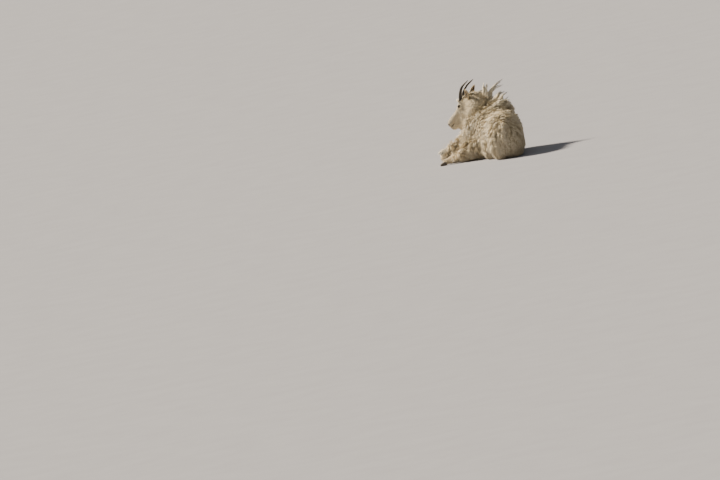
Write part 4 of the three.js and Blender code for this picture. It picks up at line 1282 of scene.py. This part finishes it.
def horn_tree(material):
    """Geometry nodes that sweep a horn along its line, with growth rings near the base."""
    tree = bpy.data.node_groups.new("ringed_horn", "GeometryNodeTree")
    face = tree.interface
    face.new_socket("Line", in_out="INPUT", socket_type="NodeSocketGeometry")
    for name, value in (("Base Radius", 0.0142), ("Ring Depth", 0.035), ("Rings", 11.0)):
        face.new_socket(name, in_out="INPUT", socket_type="NodeSocketFloat").default_value = value
    face.new_socket("Horn", in_out="OUTPUT", socket_type="NodeSocketGeometry")
    nodes, links = tree.nodes, tree.links
    start, end = nodes.new("NodeGroupInput"), nodes.new("NodeGroupOutput")

    def maths(operation, *values):
        node = nodes.new("ShaderNodeMath")
        node.operation = operation
        for socket, value in zip(node.inputs, values):
            if hasattr(value, "is_linked"):
                links.new(value, socket)
            else:
                socket.default_value = value
        return node.outputs[0]

    to_curve = nodes.new("GeometryNodeMeshToCurve")
    links.new(start.outputs["Line"], to_curve.inputs["Mesh"])
    share = nodes.new("GeometryNodeSplineParameter").outputs["Factor"]
    left = maths("SUBTRACT", 1.0, share)
    full = maths("POWER", maths("SUBTRACT", 1.0, maths("POWER", share, 1.8)), 0.6)
    taper = maths("ADD", full, 0.08)
    wave = maths("SINE", maths("MULTIPLY", maths("MULTIPLY", share, start.outputs["Rings"]), TWO_TURNS))
    fade = maths("MULTIPLY", maths("MULTIPLY", wave, maths("POWER", left, 3.0)), start.outputs["Ring Depth"])
    ringed = maths("MULTIPLY", taper, maths("ADD", fade, 1.0))
    radius = maths("MULTIPLY", ringed, start.outputs["Base Radius"])
    set_radius = nodes.new("GeometryNodeSetCurveRadius")
    links.new(to_curve.outputs["Curve"], set_radius.inputs["Curve"])
    links.new(radius, set_radius.inputs["Radius"])
    circle = nodes.new("GeometryNodeCurvePrimitiveCircle")
    circle.inputs["Resolution"].default_value = 28
    circle.inputs["Radius"].default_value = 1.0
    sweep = nodes.new("GeometryNodeCurveToMesh")
    sweep.inputs["Fill Caps"].default_value = True
    links.new(set_radius.outputs["Curve"], sweep.inputs["Curve"])
    links.new(circle.outputs["Curve"], sweep.inputs["Profile Curve"])
    if "Scale" in sweep.inputs:
        links.new(radius, sweep.inputs["Scale"])
    realize = nodes.new("GeometryNodeRealizeInstances")
    finish = nodes.new("GeometryNodeSetMaterial")
    finish.inputs["Material"].default_value = material
    links.new(sweep.outputs["Mesh"], realize.inputs["Geometry"])
    links.new(realize.outputs["Geometry"], finish.inputs["Geometry"])
    links.new(finish.outputs["Geometry"], end.inputs["Horn"])
    return tree


class GOAT_OT_horns(GoatOperator):
    """Slim black horns that sweep back, ringed near the base"""

    bl_idname = "goat.horns"
    bl_label = "Horns"

    def execute(self, context):
        s = Shading("black_horn")
        streaks = s.mottle(self.colours.horn[:3], (0.06, 0.052, 0.045), 160.0, 5.0, 0.35, 0.75)
        s.link(streaks, s.shader.inputs["Base Color"])
        s.bump(s.noise(520.0, 3.0), 0.25, 0.0008)
        s.plain(Roughness=0.42, Specular_IOR_Level=0.3)
        tree = horn_tree(s.material)
        names = {item.name: item.identifier for item in tree.interface.items_tree if item.in_out == "INPUT"}
        for name, side in SIDES:
            line = to_metres(through([HEAD.at(f, side * l, u) for f, l, u in HORN_LINE], 140))
            path = bpy.data.meshes.new(f"{name}_horn_line")
            path.from_pydata([tuple(p) for p in line], [(i, i + 1) for i in range(len(line) - 1)], [])
            holder = bpy.data.objects.new(f"{name}_horn_line", path)
            context.scene.collection.objects.link(holder)
            modifier = holder.modifiers.new("horn", "NODES")
            modifier.node_group = tree
            modifier[names["Base Radius"]] = self.sizes.horn_radius
            context.view_layer.update()
            shaped = holder.evaluated_get(context.evaluated_depsgraph_get())
            mesh = bpy.data.meshes.new_from_object(shaped)
            bpy.data.objects.remove(holder)
            mesh.name = f"{name}_horn"
            mesh.polygons.foreach_set("use_smooth", np.full(len(mesh.polygons), True))
            horn = new_object(f"{name}_horn", mesh)
            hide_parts(f"horn_{name}")
        return {"FINISHED"}


EAR_AIM = {
    "left": {"along": (-0.67, 0.67, 0.31), "cup": (0.18, 0.92, 0.35)},
    "right": {"along": (-0.8, 0.36, 0.47), "cup": (-0.61, -0.42, -0.67)},
}
EAR = {"length": 134.0, "width": 54.0}


def ear_shape(name, side):
    """A pointed cupped ear as a closed shell, with each vertex's place along it and its side."""
    along, cup = (
        unit(HEAD.forward * f + HEAD.left * side * l + HEAD.up * u)
        for f, l, u in (EAR_AIM[name]["along"], EAR_AIM[name]["cup"])
    )
    cup = unit(cup - along * (cup @ along))
    across = np.cross(along, cup)
    root = EAR_PLACES[name]
    steps, columns = 26, 17
    outer, inner = [], []
    for t in np.linspace(-0.12, 1, steps):
        width = EAR["width"] * 0.5 * math.sin(math.pi * min(0.985, 0.24 + 0.72 * max(t, 0))) ** 0.9
        width = max(width, 1.0)
        bend = -10 * math.sin(math.pi * max(t, 0))
        for a in np.linspace(-1, 1, columns):
            angle = a * 1.35
            q = root + along * t * EAR["length"] + cup * bend
            q = q + across * width * math.sin(angle) * 1.02 - cup * width * (math.cos(angle) - 0.35) * 0.75
            thick = 1.6 * (1 - abs(a) ** 4) + 0.5
            outward = -cup * math.cos(angle) + across * math.sin(angle)
            outer.append(q + outward * thick)
            inner.append(q - outward * thick)
    vertices = np.array(outer + inner)
    faces, n = [], steps * columns
    for i in range(steps - 1):
        for k in range(columns - 1):
            a = i * columns + k
            faces += [(a, a + 1, a + columns + 1, a + columns)]
            faces += [(n + a, n + a + columns, n + a + columns + 1, n + a + 1)]
        for k in (0, columns - 1):
            a = i * columns + k
            b = a + columns
            faces.append((a, b, n + b, n + a) if k == 0 else (a, n + a, n + b, b))
    for k in range(columns - 1):
        faces.append((k, n + k, n + k + 1, k + 1))
        a = (steps - 1) * columns + k
        faces.append((a, a + 1, n + a + 1, n + a))
    return vertices, outwards(vertices, np.array(faces)), n, along, cup


class GOAT_OT_ears(GoatOperator):
    """Cupped ears with short hair outside and sparse, longer hair inside the cup"""

    bl_idname = "goat.ears"
    bl_label = "Ears"

    def execute(self, context):
        rng = np.random.default_rng(SEED + 3)
        for name, side in SIDES:
            vertices, faces, n, along, cup = ear_shape(name, side)
            pelt = Pelt(f"{name}_ear", vertices, faces)
            inside = np.arange(len(vertices)) >= n
            outer = 0.72 * tint_of(vertices) + (0.05, 0.03, 0.02)
            tint = np.where(inside[:, None], (0.16, 0.105, 0.07), outer)
            set_colour(pelt.mesh, "Tint", tint)
            pelt.mesh.materials.append(bpy.data.materials["short_haired_skin"])
            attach(pelt.piece, BODY)
            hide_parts(f"ear_{name}")
            groups = []
            inner = np.all(faces >= n, axis=1)
            for back, count, size in EAR_HAIR:
                weight = np.all(faces < n, axis=1) if back else inner
                roots, flat = pelt.roots(count, weight.astype(float), SEED + 4)
                out = -cup if back else cup
                direction = unit(along + out * 0.25 + rng.normal(0, 0.14, (count, 3)))
                length = size * rng.uniform(0.7, 1.2, count)
                t = np.linspace(-0.08, 1, 4)[None, :, None]
                places = roots[:, None] + direction[:, None] * t * length[:, None, None]
                colour = tint_of(roots)
                widths = np.full(count, EAR_HAIR_WIDTH)
                groups.append((places, np.tile(out, (count, 4, 1)), widths, flat, colour))
            parts = [np.concatenate(g) for g in zip(*groups)]
            fur = tuft_mesh(f"{name}_ear_hair", *parts)
            fur.materials.append(bpy.data.materials["cream_coat"])
            new_object(f"{name}_ear_hair", fur)
        return {"FINISHED"}


def claw_shape(fetlock, coronet, which):
    """One half of a cloven hoof: a rounded wedge with a flat sole."""
    fetlock, coronet = np.array(fetlock, float), np.array(coronet, float)
    along = coronet - fetlock
    along[2] = 0
    along = unit(along)
    across = np.cross((0.0, 0.0, 1.0), along)
    rings, columns = 14, 20
    vertices = []
    for i in range(rings):
        t = i / (rings - 1)
        shrink = 1.0 if 0 < i < rings - 1 else 0.9
        top = HOOF["height"] + (HOOF["toe"] - HOOF["height"]) * t
        half = (HOOF["width"] / 2 + (HOOF["width"] * 0.3 - HOOF["width"] / 2) * t * t) * shrink
        round_toe = math.sqrt(max(0.0, 1 - max(0.0, (t - 0.7) / 0.32) ** 2))
        centre = coronet + along * (t * HOOF["length"] - 5.0)
        centre = centre + across * (which * (HOOF["width"] / 2 + 0.35) - which * t * t * 3)
        for k in range(columns):
            a = 2 * math.pi * k / columns
            c, s = math.cos(a), math.sin(a)
            wide = math.copysign(abs(c) ** 0.6, c) * half * round_toe
            high = top / 2 + math.copysign(abs(s) ** 0.6, s) * top / 2 * shrink
            narrow = 1 - 0.35 * max(high / top - 0.3, 0)
            vertices.append(np.array([centre[0], centre[1], 0]) + across * wide * narrow
                            + np.array([0, 0, max(high, 0.6)]))
    vertices = np.array(vertices)
    ends = [vertices[:columns].mean(0), vertices[-columns:].mean(0)]
    vertices = np.concatenate([vertices, ends])
    return vertices, outwards(vertices, capped(rings, columns))


class GOAT_OT_hooves(GoatOperator):
    """Cloven hooves, worn and a little scuffed"""

    bl_idname = "goat.hooves"
    bl_label = "Hooves"

    def execute(self, context):
        s = Shading("scuffed_hoof")
        scuffs = s.mottle(self.colours.hoof[:3], (0.17, 0.14, 0.11), 110.0, 6.0, 0.4, 0.78)
        s.link(scuffs, s.shader.inputs["Base Color"])
        s.bump(s.noise(300.0, 4.0), 0.3, 0.001)
        s.plain(Roughness=0.55)
        for foot, joints in JOINTS.items():
            end, side = foot.split("_")
            for row, which in (("outer", 1), ("inner", -1)):
                vertices, faces = claw_shape(joints[-2], joints[-1], which)
                mesh = mesh_of(f"{side}_{end}_{row}_hoof", vertices, faces)
                mesh.materials.append(s.material)
                hoof = new_object(mesh.name, mesh)
                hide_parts(f"{end}_claw_{row}_{side}")
        return {"FINISHED"}


# Camera: the view's plane in photo units, with the floor rising to the right
ROLL = 11.5
ELEVATION = 5.0
PIXELS_PER_METRE = 107.0
ORIGIN_PIXEL = (482.0, 165.0)
ORIGIN_HEIGHT = 0.047
FRAME_SIZE = (720, 480)
LENS = 600.0
SENSOR = 36.0


class GOAT_OT_stage(GoatOperator):
    """Pale floor, one warm sun with two soft fills, and the camera"""

    bl_idname = "goat.stage"
    bl_label = "Stage"

    def execute(self, context):
        scene = context.scene
        world = bpy.data.worlds.new("studio")
        world.use_nodes = True
        background = world.node_tree.nodes["Background"]
        background.inputs["Color"].default_value = (0.86, 0.86, 0.90, 1)
        background.inputs["Strength"].default_value = 0.17
        scene.world = world
        half = 60.0
        floor_mesh = bpy.data.meshes.new("floor")
        floor_mesh.from_pydata(
            [(-half, -half, 0), (half, -half, 0), (half, half, 0), (-half, half, 0)], [], [(0, 1, 2, 3)])
        floor = bpy.data.objects.new("floor", floor_mesh)
        scene.collection.objects.link(floor)
        s = Shading("pale_floor")
        s.link(s.mottle((0.28, 0.29, 0.33), (0.30, 0.31, 0.35), 3.0, 3.0), s.shader.inputs["Base Color"])
        s.plain(Roughness=0.8)
        floor_mesh.materials.append(s.material)

        aim = Vector((0.0, 0.05, 0.28))
        for name, place, strength, colour, softness in (
            ("warm_key", (-2.8, 1.5, 2.7), 12.5, (1.0, 0.86, 0.67), 8.0),
            ("top_soft", (-0.6, -0.6, 4.4), 0.25, (1.0, 0.95, 0.86), 60.0),
            ("camera_fill", (0.3, -5.4, 2.6), 0.2, (1.0, 0.92, 0.76), 60.0),
        ):
            data = bpy.data.lights.new(name, "SUN")
            data.energy, data.color, data.angle = strength, colour, math.radians(softness)
            lamp = bpy.data.objects.new(data.name, data)
            lamp.location = place
            lamp.rotation_mode = "QUATERNION"
            lamp.rotation_quaternion = (aim - Vector(place)).to_track_quat("-Z", "Y")
            scene.collection.objects.link(lamp)

        tilt, roll = math.radians(ELEVATION), math.radians(ROLL)
        right = np.array([1.0, 0.0, 0.0])
        onward = np.array([0.0, math.cos(tilt), -math.sin(tilt)])
        up = np.array([0.0, math.sin(tilt), math.cos(tilt)])
        across = (FRAME_SIZE[0] / 2 - ORIGIN_PIXEL[0]) / PIXELS_PER_METRE
        above = (ORIGIN_PIXEL[1] - FRAME_SIZE[1] / 2) / PIXELS_PER_METRE
        flat = across * math.cos(roll) + above * math.sin(roll)
        high = -across * math.sin(roll) + above * math.cos(roll)
        origin = SHIFT / 1000.0 - np.array([0.0, 0.0, ORIGIN_HEIGHT])
        distance = LENS / SENSOR * FRAME_SIZE[0] / PIXELS_PER_METRE
        place = origin + right * flat + up * high - onward * distance
        camera = bpy.data.cameras.new("camera")
        camera.lens, camera.sensor_width = LENS, SENSOR
        camera.clip_start, camera.clip_end = 1.0, 400.0
        holder = bpy.data.objects.new("camera", camera)
        x_axis = right * math.cos(roll) - up * math.sin(roll)
        y_axis = right * math.sin(roll) + up * math.cos(roll)
        columns = np.stack([x_axis, y_axis, -onward], 1)
        holder.matrix_world = Matrix.Translation(Vector(place)) @ Matrix(columns.tolist()).to_4x4()
        scene.collection.objects.link(holder)
        scene.camera = holder
        return {"FINISHED"}


OPERATORS = (
    GOAT_OT_skin, GOAT_OT_coat, GOAT_OT_mane, GOAT_OT_fringe, GOAT_OT_eyes, GOAT_OT_horns, GOAT_OT_ears,
    GOAT_OT_hooves, GOAT_OT_stage,
)


class GOAT_PT_panel(bpy.types.Panel):
    """Lists the goat's pieces and their settings"""

    bl_idname = "GOAT_PT_panel"
    bl_label = "Resting mountain goat"
    bl_space_type = "VIEW_3D"
    bl_region_type = "UI"
    bl_category = "Goat"

    def draw(self, context):
        for group in (context.scene.goat_sizes, context.scene.goat_colours):
            for name in group.__annotations__:
                self.layout.prop(group, name)
        for operator in OPERATORS:
            self.layout.operator(operator.bl_idname)


CLASSES = (GoatSizes, GoatColours, *OPERATORS, GOAT_PT_panel)


def register():
    for cls in CLASSES:
        bpy.utils.register_class(cls)
    bpy.types.Scene.goat_sizes = bpy.props.PointerProperty(type=GoatSizes)
    bpy.types.Scene.goat_colours = bpy.props.PointerProperty(type=GoatColours)


def unregister():
    del bpy.types.Scene.goat_colours
    del bpy.types.Scene.goat_sizes
    for cls in reversed(CLASSES):
        bpy.utils.unregister_class(cls)


def main():
    register()
    for operator in OPERATORS:
        group, name = operator.bl_idname.split(".")
        getattr(getattr(bpy.ops, group), name)()


if __name__ == "__main__":
    main()
